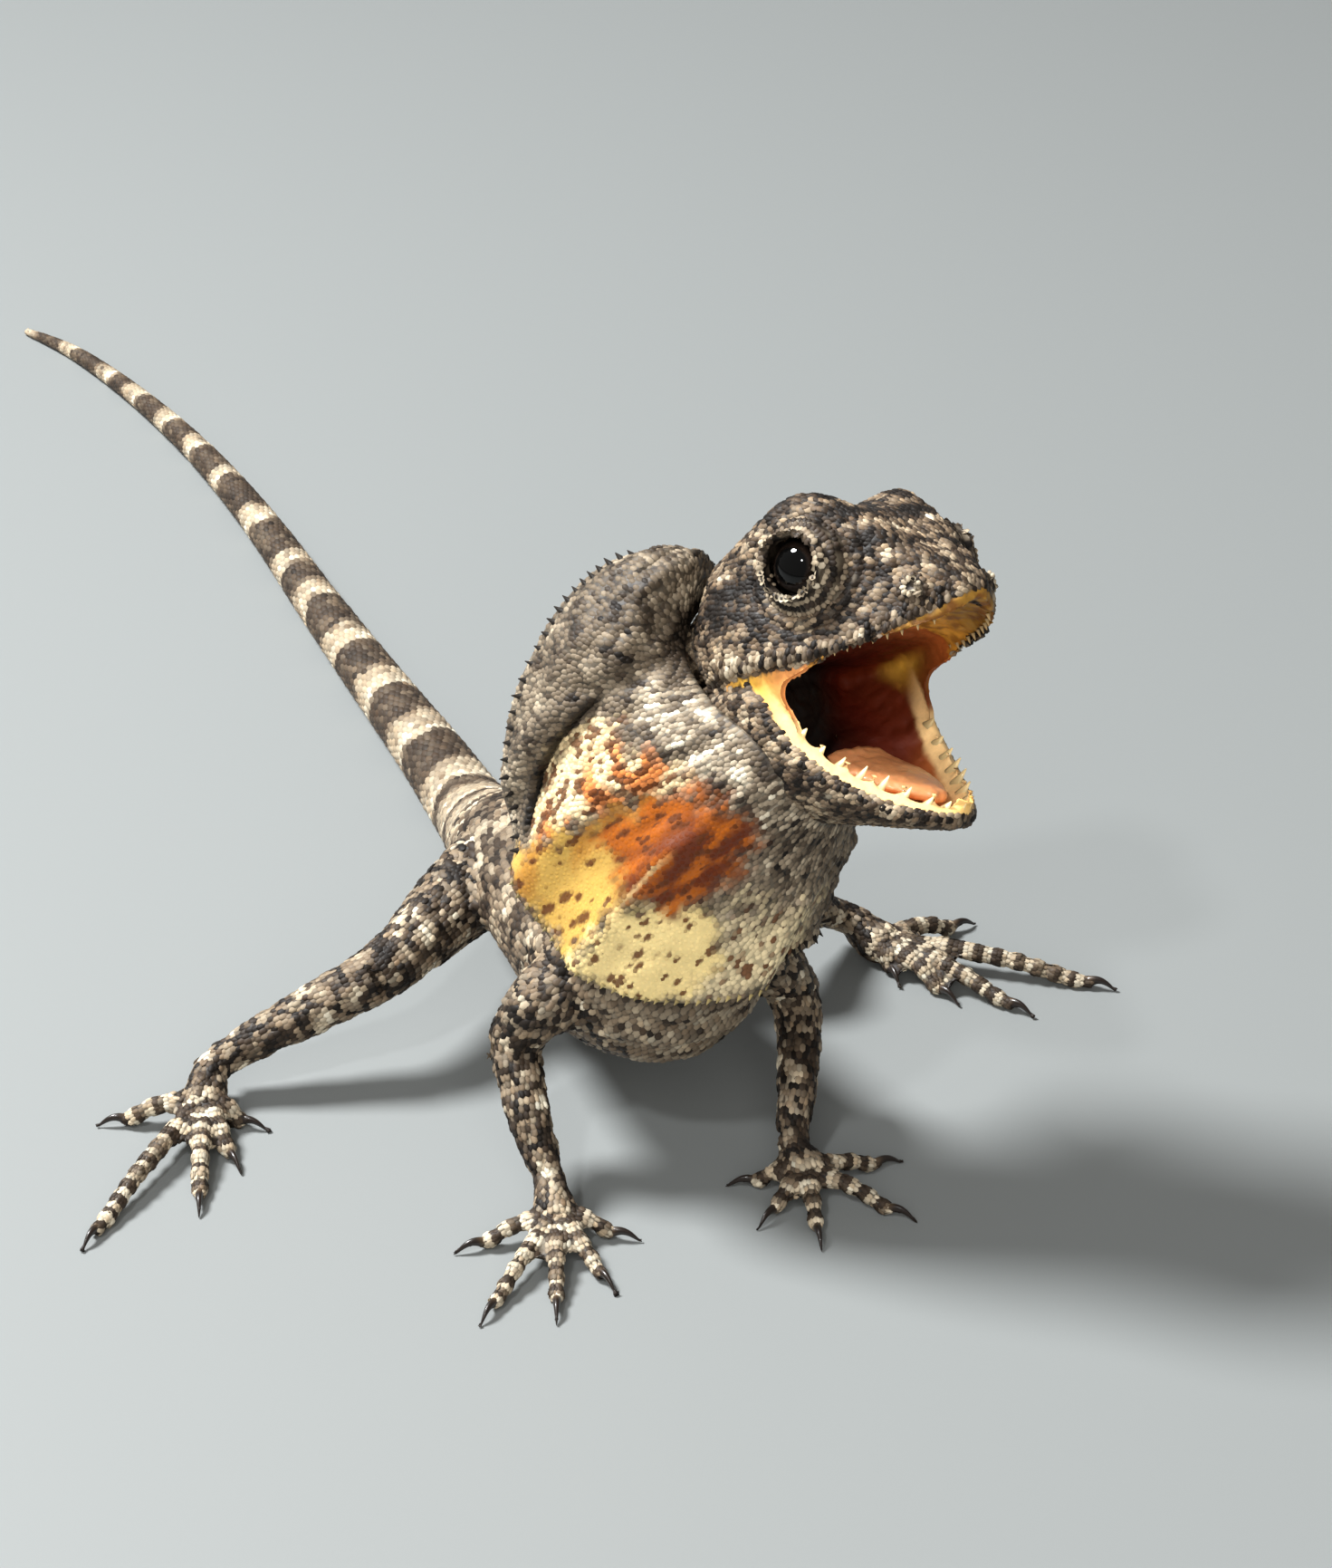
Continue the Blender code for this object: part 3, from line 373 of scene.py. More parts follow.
FEET = {
    "right_arm": ((-4.0, 5.6), (-6.7, 2.1), (-10.2, 0.9), (-13.6, 2.2), (-12.9, 8.0)),
    "left_arm": ((1.6, 8.3), (1.7, 4.4), (3.9, 1.6), (9.2, 2.0), (10.6, 6.9)),
    "right_leg": ((-18.2, 21.3), (-20.6, 18.2), (-23.6, 15.5), (-29.7, 15.0), (-26.2, 24.9)),
    "left_leg": ((17.0, 21.4), (19.2, 18.6), (22.4, 16.2), (27.6, 16.9), (23.4, 25.6)),
}
TOE_ARCH = {"arm": 1.15, "leg": 1.30}
TOE_REACH = {"arm": 0.50, "leg": 0.56}
CLAW_LENGTH = 1.7
LIMB_PITCH, TOE_PITCH, HEAD_PITCH = 0.30, 0.25, 0.245


def toe_line(limb, tip):
    """The arched line of one toe, from the palm to where its claw starts, and its way over the floor."""
    palm, palm_reach = LIMB_LINES[limb][-1]
    arch = TOE_ARCH[limb.split("_")[1]]
    palm, tip = Vector(palm), Vector((*tip, 0.0))
    out = Vector((tip.x - palm.x, tip.y - palm.y, 0.0)).normalized()
    root = palm + out * (palm_reach * 0.35)
    reach = (tip - root).to_2d().length - CLAW_LENGTH * 0.8
    base = Vector((root.x, root.y, 0.0))
    profile = ((0.0, 1.05), (0.34, 0.37 + arch * 0.72), (0.64, arch * 0.80), (0.90, 0.42), (1.0, 0.36))
    return [base + out * (reach * share) + Vector((0, 0, height)) for share, height in profile], out


lines = {"body": ([Vector(p) for p in BODY_LINE], BODY_REACH, BODY_PITCH)}
for limb, joints in LIMB_LINES.items():
    lines[limb] = ([Vector(p) for p, _ in joints], [r for _, r in joints], [LIMB_PITCH] * len(joints))
    for number, tip in enumerate(FEET[limb], 1):
        points, _ = toe_line(limb, tip)
        lines[f"{limb}_toe_{number}"] = (points, [TOE_REACH[limb.split("_")[1]] * 1.1] * 5, [TOE_PITCH] * 5)
print("lines through the body, limbs and toes:", len(lines))

# %% [markdown]
# Colours are mixed from a short scale of tones, from near black through grey-brown to cream, the way a
# young lizard's speckled skin runs. Skin and scales ask the same functions for their tone at a place, so the
# markings run through both. The functions write numbers on the mesh, and the material only reads them.

# %% Tones and markings
def colour(red, green, blue):
    """A colour as seen on a screen, 0 to 255, turned into the linear values that materials use."""
    shares = [value / 255 for value in (red, green, blue)]
    return np.array([s / 12.92 if s < 0.04045 else ((s + 0.055) / 1.055) ** 2.4 for s in shares])


def mixed(first, second, share):
    """A colour or number part of the way from one to another."""
    return first + (second - first) * share


def tones(*rows):
    """A scale of colours from the darkest to the palest."""
    return [colour(*row) for row in rows]


SKIN_SCALE = tones((22, 17, 13), (60, 49, 39), (116, 101, 83), (176, 161, 137), (238, 229, 206))
TAIL_LIGHT_BANDS = (36.0, 40.6, 45.3, 52.1, 58.6, 65.0, 71.2, 76.2, 83.1, 89.8, 94.5, 99.6, 103.9, 108.2,
                    113.2, 117.7)
TAIL_START = 34.0


def tone_colour(tone, scale=SKIN_SCALE):
    """The colour for a tone from 0, the darkest, to 1, the palest."""
    place = min(0.9999, max(0.0, tone)) * (len(scale) - 1)
    index = int(place)
    return mixed(scale[index], scale[index + 1], place - index)


def cloud(point, grain, seed=0.0):
    """Soft noise from -1 to 1, with patches about grain millimetres across."""
    return noise.noise(Vector((point.x / grain, point.y / grain, point.z / grain + seed)))


def crack(point, grain, width, seed=0.0):
    """1 on the border between two irregular cells about grain millimetres across, 0 inside a cell."""
    distances, _ = noise.voronoi(Vector((point.x / grain + seed, point.y / grain, point.z / grain)))
    return 1.0 - ramp(distances[1] - distances[0], 0.0, width)


def wandering(point):
    """The place moved a little by noise, so that what is drawn through it wanders."""
    return point + Vector((cloud(point, 1.1, 7.0), cloud(point, 1.1, 17.0), cloud(point, 1.1, 27.0))) * 0.35


def tail_tone(point):
    y = point.y + 0.9 * cloud(point, 1.6) * ramp(point.y, 30.0, 45.0)
    nearest = min(TAIL_LIGHT_BANDS, key=lambda c: abs(c - y))
    half_light = 1.55 - 0.010 * (nearest - 40.0)
    light = 1.0 - ramp(abs(y - nearest), half_light * 0.72, half_light * 1.22)
    front_edge = math.exp(-((y - nearest + half_light * 0.7) / 0.5) ** 2)
    return 0.27 + 0.36 * light + 0.18 * front_edge + 0.16 * cloud(point, 0.7, 3.0)


def torso_tone(point):
    bars = math.sin(point.y * 1.15 + 2.2 * cloud(point, 4.0) + abs(point.x) * 0.35)
    chest = 1.0 - ramp(point.y, 14.5, 17.5)
    # The dark lines along the chest's folds, which the relief also raises, are painted shade in their
    # creases.
    wrinkle = 1.0 - ramp(abs(math.sin(point.z * 2.9 + 1.7 * cloud(point, 2.4, 6.0))), 0.0, 0.35)
    tone = 0.55 + 0.12 * bars * (1.0 - chest) + 0.24 * cloud(point, 1.1, 8.0) + 0.16 * cloud(point, 0.5, 1.0)
    return tone - 0.42 * wrinkle * chest - 0.36 * crack(point, 1.5, 0.20, 3.0) * (1.0 - chest)


def limb_tone(point, along, toe):
    if toe:
        stripe = math.sin(along * 6.1 + 0.8 * cloud(point, 1.0, 2.0)) * 2.2
        return 0.50 + 0.28 * min(1.0, max(-1.0, stripe)) + 0.12 * cloud(point, 0.5, 4.0)
    cream = ramp(cloud(point, 1.1, 1.0), 0.12, 0.40)
    cross = 1.0 - ramp(abs(math.sin(along * 1.35 + 1.6 * cloud(point, 1.6, 3.0))), 0.05, 0.28)
    line = max(crack(wandering(point), 1.35, 0.26, 11.0), 0.8 * cross)
    return 0.54 + 0.30 * cream - 0.56 * line + 0.12 * cloud(point, 0.6, 5.0)


EYE_F, EYE_L, EYE_U = 3.9, 3.60, 4.55
EYE_FACING = (0.22, 1.0, 0.06)
NOSTRIL_F, NOSTRIL_L, NOSTRIL_U = 9.0, 2.72, 2.95
# Marks on the head: place forward, left (both sides), up, reach along each, and change of tone.
HEAD_MARKS = (
    (0.6, 5.2, 4.1, 2.3, 1.5, 0.36, -0.75), (-2.2, 5.6, 3.2, 1.8, 1.5, 0.5, -0.70),
    (1.8, 4.6, 7.2, 0.9, 1.0, 0.45, -0.60), (5.9, 1.6, 7.2, 0.55, 1.6, 0.9, -0.75),
    (4.6, 2.6, 8.2, 0.9, 0.5, 0.6, -0.60), (6.8, 3.2, 5.5, 0.5, 0.7, 0.5, -0.70),
    (3.4, 0.2, 7.6, 1.7, 1.0, 0.9, -0.45), (8.6, 1.6, 5.2, 0.4, 0.9, 0.4, -0.50),
    (3.4, 4.6, 6.95, 1.1, 0.8, 0.30, 0.42), (1.7, 5.2, 5.9, 0.7, 0.8, 0.7, 0.36),
    (6.9, 2.2, 6.5, 0.7, 0.9, 0.45, 0.42), (7.9, 2.4, 4.6, 0.5, 0.7, 0.35, 0.30),
    (-1.5, 5.2, 5.2, 1.2, 1.0, 0.6, 0.28), (-0.5, 5.9, 1.2, 1.6, 1.4, 0.5, 0.26),
    (4.6, 5.5, 1.1, 2.6, 1.2, 0.5, 0.20), (0.2, 5.7, 2.6, 1.6, 1.2, 0.3, -0.30),
    (2.4, 3.2, 8.1, 1.4, 1.0, 0.6, -0.40), (7.6, 3.4, 3.9, 0.5, 0.6, 0.4, -0.40),
)

# Wrinkles round the eye: where the first crest lies, and the way from crest to crest.
WRINKLE_START, WRINKLE_PITCH = 2.0, 0.62


def wrinkle_wave(ring):
    """1 on the crest of a wrinkle round the eye, and -1 in the groove between two."""
    return math.cos((ring - WRINKLE_START) * 2 * math.pi / WRINKLE_PITCH)


def head_tone(point):
    forward, left, up = head_axes(point)
    tone = 0.51 + 0.34 * cloud(point, 1.2, 9.0) + 0.20 * cloud(point, 0.42, 6.0)
    tone -= 0.44 * crack(point, 1.05, 0.24, 5.0)
    for mark_f, mark_l, mark_u, reach_f, reach_l, reach_u, change in HEAD_MARKS:
        away = ((forward - mark_f) / reach_f) ** 2 + ((abs(left) - mark_l) / reach_l) ** 2
        away += ((up - mark_u + 0.25 * cloud(point, 0.8)) / reach_u) ** 2
        tone += change * math.exp(-away)
    # Painted shade in the grooves between the wrinkles round the eye, which the relief also carves.
    around = math.hypot(forward - EYE_F, up - EYE_U) + 0.25 * cloud(point, 0.9, 31.0)
    if abs(left) > 2.6 and around < 5.2:
        strength = ramp(around, 2.3, 2.7) * (1.0 - ramp(around, 4.2, 5.2)) * (1.0 - 0.6 * ramp(up, 4.5, 6.0))
        tone -= 0.30 * ramp(-wrinkle_wave(around), 0.35, 0.9) * strength
    return tone


print("palest and darkest skin:", tone_colour(1.0).round(2), tone_colour(0.0).round(3))

# %% [markdown]
# The inside of the mouth has its own colours: yellow at the corners and at the front of both lips, cream
# along the gum and orange on the floor. The dark red on the far walls is partly their own colour and partly
# painted shade, and the near black down the throat is painted shade. A point of the skin belongs to the
# mouth when it can be seen from the middle of the open mouth, which the finished skin's search tree answers.
# The web at each corner is bare skin on its outer face too.

# %% Mouth colours
# Rows along the upper head: place forward, half width and height of the lip.
LIP_LINE = ((-4.45, 3.6, 0.2), (-2.6, 5.2, -0.1), (-0.6, 6.0, 0.0), (1.4, 5.95, 0.05), (3.4, 5.7, 0.1),
            (5.2, 5.1, 0.2), (7.0, 4.3, 0.5), (8.5, 3.3, 0.75), (9.7, 2.2, 1.1), (10.5, 1.2, 1.55),
            (10.85, 0.5, 1.9))
# The lower jaw's rim: place forward, height and half width, and the rim's back end.
JAW_RIM = ((0.5, -0.42, 5.95), (1.3, -1.4, 5.85), (2.5, -3.6, 5.4), (3.9, -5.1, 4.7), (5.3, -6.3, 3.7),
           (6.8, -7.25, 2.45), (7.7, -7.65, 1.35), (8.15, -7.8, 0.6))
JAW_RIM_BACK = (-4.0, -0.6)
JAW_CURVE = [Vector(row) for row in JAW_RIM]
LIP_END = 10.8
# How far the mouth and its lips reach: forward, left and up.
MOUTH_BOX = ((-7.0, 11.2), (-6.4, 6.4), (-8.6, 3.2))
MOUTH_VIEWS = along_middle((-1.8, -1.6), (0.6, -1.9), (3.2, -2.6), (5.6, -4.2), (7.4, -4.6))


def lip_at(forward):
    """Half width and height of the upper lip at a place along the head."""
    places, widths, heights = zip(*LIP_LINE)
    return np.interp(forward, places, widths), np.interp(forward, places, heights)


def jaw_rim_height(forward):
    places, heights = zip(JAW_RIM_BACK, *(row[:2] for row in JAW_RIM))
    return np.interp(forward, places, heights)


def lip_band(forward):
    """Height of the bare yellow band along the upper lip, which widens to the snout."""
    return 0.02 + 0.66 * ramp(forward, 6.0, 9.4)


def mouth_share(point, normal):
    """1 on the wet inside of the mouth and its bare lips, 0 on the scaly outside of the head."""
    forward, left, up = head_axes(point)
    if any(value < low or value > high for value, (low, high) in zip((forward, left, up), MOUTH_BOX)):
        return 0.0
    width, lip = lip_at(min(forward, LIP_END))
    if up > lip - 0.3 and forward > 3.0:
        band = ramp(lip_band(forward) + lip - up + 0.12 * cloud(point, 0.5), -0.08, 0.08)
        if abs(left) > width - 0.5 or forward > 9.5:
            return band
    if forward > -1.2 and jaw_rim_height(forward) + 0.12 < up < lip - 0.05:
        return 1.0
    start = point + normal * 0.10
    for middle in MOUTH_VIEWS:
        way = middle - start
        if way.dot(normal) > 0.0 and skin_tree.ray_cast(start, way.normalized(), way.length)[0] is None:
            return 1.0
    return 0.0


# The dark red is partly the far walls' own colour and partly painted shade. The near black of the throat is
# painted shade.
MOUTH_COLOURS = {
    "cream": colour(244, 204, 142), "yellow": colour(238, 182, 66), "peach": colour(226, 148, 84),
    "orange": colour(184, 88, 26), "red": colour(84, 22, 7), "throat": colour(8, 4, 3),
    "mustard": colour(148, 108, 40),
}


def mouth_colour(point):
    forward, left, up = head_axes(point)
    made = MOUTH_COLOURS["peach"]

    def toward(name, amount):
        nonlocal made
        made = mixed(made, MOUTH_COLOURS[name], amount)

    rim = up - jaw_rim_height(forward)
    far_side = ramp(left, 0.5, 3.6)
    toward("orange", 0.75 * far_side + 0.35 * (1.0 - ramp(rim, -2.4, -0.8)) * (1.0 - far_side))
    # Painted shade: the far wall and the back of the mouth go dark red, and the throat goes near black.
    toward("red", (1.0 - ramp(forward, 1.4, 5.0)) * ramp(left, -2.5, 1.0) * 0.95)
    toward("red", (1.0 - ramp(forward, -0.6, 2.4)) * (1.0 - ramp(abs(left), 3.2, 4.6)))
    narrow = (1.0 - ramp(abs(left), 2.3, 3.9)) * (1.0 - 0.4 * ramp(left, 1.0, 3.0))
    toward("throat", (1.0 - ramp(forward, -1.4, 1.3)) * narrow)
    toward("cream", ramp(rim, -0.75, -0.15) * ramp(forward, 0.8, 2.2) * (1.0 - ramp(rim, 1.0, 1.5)))
    toward("yellow", math.exp(-((forward - 0.2) / 1.5) ** 2) * ramp(abs(left), 4.6, 5.3))
    toward("yellow", 0.55 * ramp(forward, 6.2, 8.4) * ramp(left, -3.0, 1.0))
    if up > -0.3 and forward > 4.0:
        toward("yellow", 0.6)
        toward("mustard", 0.95 * ramp(forward, 5.0, 7.4))
        toward("red", 0.60 * ramp(cloud(point, 0.55, 2.0) + 0.3 * cloud(point, 0.2, 5.0), -0.15, 0.35))
    return made * (1.0 + 0.14 * cloud(point, 0.6, 2.0) + 0.06 * cloud(point, 0.22, 8.0))


print("lip half width in the middle of the head:", round(float(lip_at(4.0)[0]), 2), "mm")

# %% [markdown]
# The frill is the show: a grey scaly hump and margin, a speckled panel, a glowing orange patch and pale
# yellow panels with brown spots. Each zone has an outline on the sheet, drawn as places round the head and
# shares from root to edge, and noise breaks its border. The cheek between them and the jaw is stretched into
# fine streaks.

# %% Frill colours
# Millimetres for the whole way round the head and for the way from root to edge.
MARGIN_MM, OUTWARD_MM = 52.0, 13.0
# Zones in the order of painting: name, outline, colour, soft border in mm, share covered by spots, size of
# the spots and how smooth the sheet is stretched there.
FRILL_ZONES = (
    ("throat", ((0.50, 0.97), (0.63, 0.97), (0.62, 0.35), (0.55, 0.12), (0.47, 0.14), (0.44, 0.42),
                (0.49, 0.62)),
     colour(216, 198, 158), 1.2, 0.46, 0.62, 0.35),
    ("speckled", ((0.230, 0.36), (0.226, 0.52), (0.240, 0.68), (0.254, 0.78), (0.276, 0.83), (0.303, 0.89),
                  (0.306, 0.75), (0.306, 0.47), (0.324, 0.26), (0.300, 0.24), (0.275, 0.31)),
     colour(238, 212, 164), 0.5, 0.60, 0.46, 0.35),
    ("mustard", ((0.318, 0.40), (0.310, 0.62), (0.303, 0.97), (0.34, 1.0), (0.388, 1.0), (0.394, 0.85),
                 (0.388, 0.55)),
     colour(200, 160, 78), 0.5, 0.44, 0.62, 1.0),
    ("yellow", ((0.392, 0.60), (0.400, 1.0), (0.46, 1.0), (0.50, 0.97), (0.505, 0.76), (0.47, 0.58),
                (0.442, 0.52)),
     colour(228, 203, 140), 0.6, 0.40, 0.62, 1.0),
    ("orange", ((0.330, 0.24), (0.319, 0.42), (0.324, 0.60), (0.354, 0.62), (0.386, 0.66), (0.425, 0.58),
                (0.444, 0.40), (0.430, 0.22), (0.404, 0.13), (0.365, 0.18)),
     colour(166, 86, 14), 0.9, 0.40, 0.62, 1.0),
)
ORANGE_DEPTH, ORANGE_GLOW, OCHRE = colour(84, 32, 9), colour(222, 116, 30), colour(172, 112, 34)
# The pale crest colour is a painted highlight on the crest of a fold.
SPOT, CREST_HIGHLIGHT = colour(86, 42, 12), colour(238, 208, 148)
FRILL_GREY_SCALE = tones((22, 17, 13), (62, 52, 42), (116, 103, 86), (172, 158, 136), (238, 229, 206))
# Pale patches on the cheek: place, share, and reach along each.
CHEEK_LIGHTS = ((0.235, 0.20, 0.020, 0.10), (0.300, 0.15, 0.022, 0.06), (0.250, 0.04, 0.03, 0.03),
                (0.345, 0.10, 0.02, 0.04))


def inside_zone(place, share, outline):
    """How many millimetres inside an outline a place on the sheet lies, negative outside."""
    x, y = place * MARGIN_MM, share * OUTWARD_MM
    nearest, inside = 99.0, False
    for (a_place, a_share), (b_place, b_share) in zip(outline, outline[1:] + outline[:1]):
        ax, ay = a_place * MARGIN_MM, a_share * OUTWARD_MM
        bx, by = b_place * MARGIN_MM, b_share * OUTWARD_MM
        t = ((x - ax) * (bx - ax) + (y - ay) * (by - ay)) / ((bx - ax) ** 2 + (by - ay) ** 2)
        t = min(1.0, max(0.0, t))
        nearest = min(nearest, math.hypot(x - ax - (bx - ax) * t, y - ay - (by - ay) * t))
        if (ay > y) != (by > y) and x < ax + (bx - ax) * (y - ay) / (by - ay):
            inside = not inside
    return nearest if inside else -nearest


def spots_at(place, share, grain, cover, seed):
    """1 inside a spot of the sheet. Spots are about as large as their share of a cell allows."""
    spot = Vector((place * MARGIN_MM * 1.40 / grain, share * OUTWARD_MM * 0.70 / grain, seed))
    distances, centres = noise.voronoi(spot)
    size = cover * (0.75 + 1.1 * noise.noise(centres[0] * 3.7))
    return 1.0 - ramp(distances[0] + 0.10 * noise.noise(spot * 4.0), size * 0.75, size * 1.1 + 0.02)


def frill_colour(place, share, point):
    """The colour of the frill's front at a place and share, and how far it is a stretched bright panel."""
    tone = 0.49 + 0.24 * cloud(point, 1.5, 21.0) + 0.16 * cloud(point, 0.45, 22.0)
    tone -= 0.22 * crack(point, 1.3, 0.14, 2.0)
    tone -= 0.26 * spots_at(place, share, 1.1, 0.30, 2.5)
    tone += 0.12 * ramp(share, 0.86, 0.97)
    cheek = (1.0 - ramp(share, 0.20, 0.34)) * ramp(place, 0.15, 0.22) * (1.0 - ramp(place, 0.50, 0.60))
    streak = sheet_noise(place, share, 150.0, 9.0, 1.0) + 0.5 * sheet_noise(place, share, 330.0, 20.0, 3.0)
    light = sum(math.exp(-((place - p) / rp) ** 2 - ((share - s) / rs) ** 2) for p, s, rp, rs in CHEEK_LIGHTS)
    tone += cheek * (0.02 + 0.50 * streak + 0.50 * light)
    # Painted shade where the frill's root meets the head under the hump.
    tone -= 0.30 * (1.0 - ramp(share, 0.05, 0.14)) * (1.0 - ramp(place, 0.16, 0.20))
    # Painted shadow at the foot of the step where the margin laps over the panel.
    outside, strength = lap(place, share)
    tone -= 0.5 * strength * math.exp(-((outside + 0.008) / 0.022) ** 2)
    made = tone_colour(tone, FRILL_GREY_SCALE)
    bare = 0.0
    for number, (zone, outline, shade, border, cover, grain, smooth) in enumerate(FRILL_ZONES):
        depth = inside_zone(place, share, outline)
        if depth < -2.5:
            continue
        weight = ramp(depth + 0.9 * cloud(point, 1.2, 13.0) + 0.45 * cloud(point, 0.4, 14.0), -border, border)
        panel = shade * (1.0 + 0.16 * cloud(point, 1.6, 33.0))
        if zone == "throat":
            weight *= ramp(share + 0.20 * streak, 0.34, 0.66)
        elif zone == "speckled":
            glow = ramp(cloud(point, 1.1, 51.0), -0.2, 0.25) * ramp(place + 0.10 * (0.5 - share), 0.24, 0.275)
            panel = mixed(panel, ORANGE_GLOW, 0.85 * glow)
        elif zone == "mustard":
            warmth = ramp(cloud(point, 1.3, 61.0) + (0.345 - place) * 9.0, 0.0, 0.7)
            panel = mixed(panel, OCHRE, 0.7 * warmth)
        elif zone == "orange":
            flame = sheet_noise(place, share, 70.0, 7.0, 9.0) + 0.25 * cloud(point, 0.4, 3.0)
            panel = mixed(panel, ORANGE_DEPTH, 0.95 * ramp(flame, -0.45, 0.25) * ramp(place, 0.325, 0.38))
        panel = mixed(panel, SPOT, 0.92 * spots_at(place, share, grain, cover, 7.5 + number))
        made = mixed(made, panel, weight)
        bare = max(bare, weight * smooth)
    # A painted highlight along the crest of one fold, on the stretched panels only.
    from_crest = (place - 0.379 - 0.016 * ramp(share, 0.40, 0.85)) / 0.0022
    crest = math.exp(-from_crest ** 2) * ramp(share, 0.38, 0.5)
    made = mixed(made, CREST_HIGHLIGHT, 0.45 * crest * bare)
    # More painted shade darkens the face of the lapping margin's step.
    return made * (1.0 - 0.85 * strength * math.exp(-((outside - 0.004) / 0.020) ** 2)), bare


print("zones on the frill:", len(FRILL_ZONES))

# %% [markdown]
# One scale is modelled: a six sided plate, narrower at its free end, with a low ridge that rises
# backwards. It measures one unit, and each copy is stretched to its own width, length and height.

# %% One scale
def keeled_scale():
    bpy.ops.mesh.primitive_circle_add(vertices=6, radius=0.5, fill_type="NGON")
    made = bpy.context.object
    made.name = "keeled_scale"
    edit_whole(made)
    bpy.ops.transform.resize(value=(1.12, 1.30, 1.0))
    bpy.ops.mesh.extrude_region_move(TRANSFORM_OT_translate={"value": (0.0, 0.04, 0.55)})
    bpy.ops.transform.resize(value=(0.74, 0.80, 1.0))
    bpy.ops.mesh.poke()
    edit_done()
    centre = min(made.data.vertices, key=lambda v: v.co.xy.length - v.co.z)
    centre.co = (0.0, 0.20, 1.0)
    for vertex in made.data.vertices:
        if vertex.co.z > 0.3 and vertex != centre:
            vertex.co.z += 0.35 * vertex.co.y
    return made


def pattern_of(item):
    """Corner places and faces of a small shape without its hidden underside, and the shape removed."""
    corners = np.array([v.co[:] for v in item.data.vertices])
    faces = [tuple(f.vertices) for f in item.data.polygons]
    faces = [face for face in faces if max(corners[c][2] for c in face) > 0.01]
    bpy.data.meshes.remove(item.data)
    return corners, faces


SCALE = pattern_of(keeled_scale())
print("corners and faces of one scale:", len(SCALE[0]), len(SCALE[1]))

# %% [markdown]
# Stamping puts a copy of a small shape at each root, turned to the skin's normal and to the lie of the coat.
# All copies become one mesh. Each copy keeps one colour, with painted shade towards its root, and a small
# patch of its own on the OFBake map, at its root's place on an unwrap of the skin, so that baked colours
# don't run together.

# %% Stamping
# The patch's size on the map, how much of its height a copy is sunk, and the shade at its root.
PATCH, SUNK, ROOT_SHADE = 0.003, 0.25, 0.50
FLOOR_CLEAR = 0.02


def stamp(name, pattern, places):
    """One mesh of many copies. A place is (root, normal, lie, (width, length, height), colour, map place)."""
    corners, faces = pattern
    count = len(places)
    roots = np.array([p[0][:] for p in places])
    normals = np.array([p[1][:] for p in places])
    lies = np.array([p[2][:] for p in places])
    lies -= normals * np.sum(lies * normals, axis=1)[:, None]
    lies /= np.linalg.norm(lies, axis=1)[:, None] + 1e-12
    across = np.cross(lies, normals)
    sizes = np.array([p[3] for p in places]) * MM
    points = roots[:, None, :] - normals[:, None, :] * (SUNK * sizes[:, None, 2:3])
    for axis, column in ((across, 0), (lies, 1), (normals, 2)):
        offsets = corners[None, :, column:column + 1] * sizes[:, None, column:column + 1]
        points = points + axis[:, None, :] * offsets
    points[:, :, 2] = np.maximum(points[:, :, 2], FLOOR_CLEAR * MM)
    corner_count = len(corners)
    loop_of_one = np.concatenate([np.array(f) for f in faces])
    starts_of_one = np.cumsum([0] + [len(f) for f in faces])[:-1]
    loops = (loop_of_one[None, :] + np.arange(count)[:, None] * corner_count).ravel()
    starts = (starts_of_one[None, :] + np.arange(count)[:, None] * len(loop_of_one)).ravel()
    mesh = bpy.data.meshes.new(name)
    mesh.vertices.add(count * corner_count)
    mesh.vertices.foreach_set("co", points.ravel())
    mesh.loops.add(len(loops))
    mesh.loops.foreach_set("vertex_index", loops.astype(np.int32))
    mesh.polygons.add(len(starts))
    mesh.polygons.foreach_set("loop_start", starts.astype(np.int32))
    mesh.update(calc_edges=True)
    mesh.validate()
    markings = mesh.color_attributes.new("markings", "FLOAT_COLOR", "POINT")
    colours = np.ones((count, corner_count, 4))
    colours[:, :, :3] = np.array([p[4] for p in places])[:, None, :]
    shade = ROOT_SHADE + (1.0 - ROOT_SHADE) * np.clip(corners[:, 2] * 1.4, 0.0, 1.0)
    colours[:, :, :3] *= shade[None, :, None]
    markings.data.foreach_set("color", colours.ravel())
    patch = np.array([p[5] for p in places])[:, None, :] + corners[None, :, :2] * PATCH
    unwrap = mesh.uv_layers.new(name="OFBake")
    unwrap.data.foreach_set("uv", patch[:, loop_of_one, :].reshape(-1))
    mesh.shade_smooth()
    made = bpy.data.objects.new(name, mesh)
    bpy.context.scene.collection.objects.link(made)
    return made


scale_pieces = []


def coat_piece(name, pattern, places):
    """Stamps one piece of small copies and keeps it with the others."""
    made = stamp(name, pattern, places)
    scale_pieces.append(made)
    print(name, "triangles:", triangles(made))


class Spacing:
    """Remembers where roots are, in cubes of the largest spacing, and refuses one that is too near."""

    def __init__(self, largest):
        self.size = largest
        self.cells = {}

    def add(self, point, gap):
        home = tuple(int(c // self.size) for c in point)
        for x in (-1, 0, 1):
            for y in (-1, 0, 1):
                for z in (-1, 0, 1):
                    for other in self.cells.get((home[0] + x, home[1] + y, home[2] + z), ()):
                        if (other - point).length_squared < gap * gap:
                            return False
        self.cells.setdefault(home, []).append(point)
        return True


print("a patch on the map is", PATCH, "across")

# %% [markdown]
# Every point of the skin belongs to the nearest line through the body. That line says which way its scales
# lie, how large they are, and how far along the limb the point is, for the cross bands.

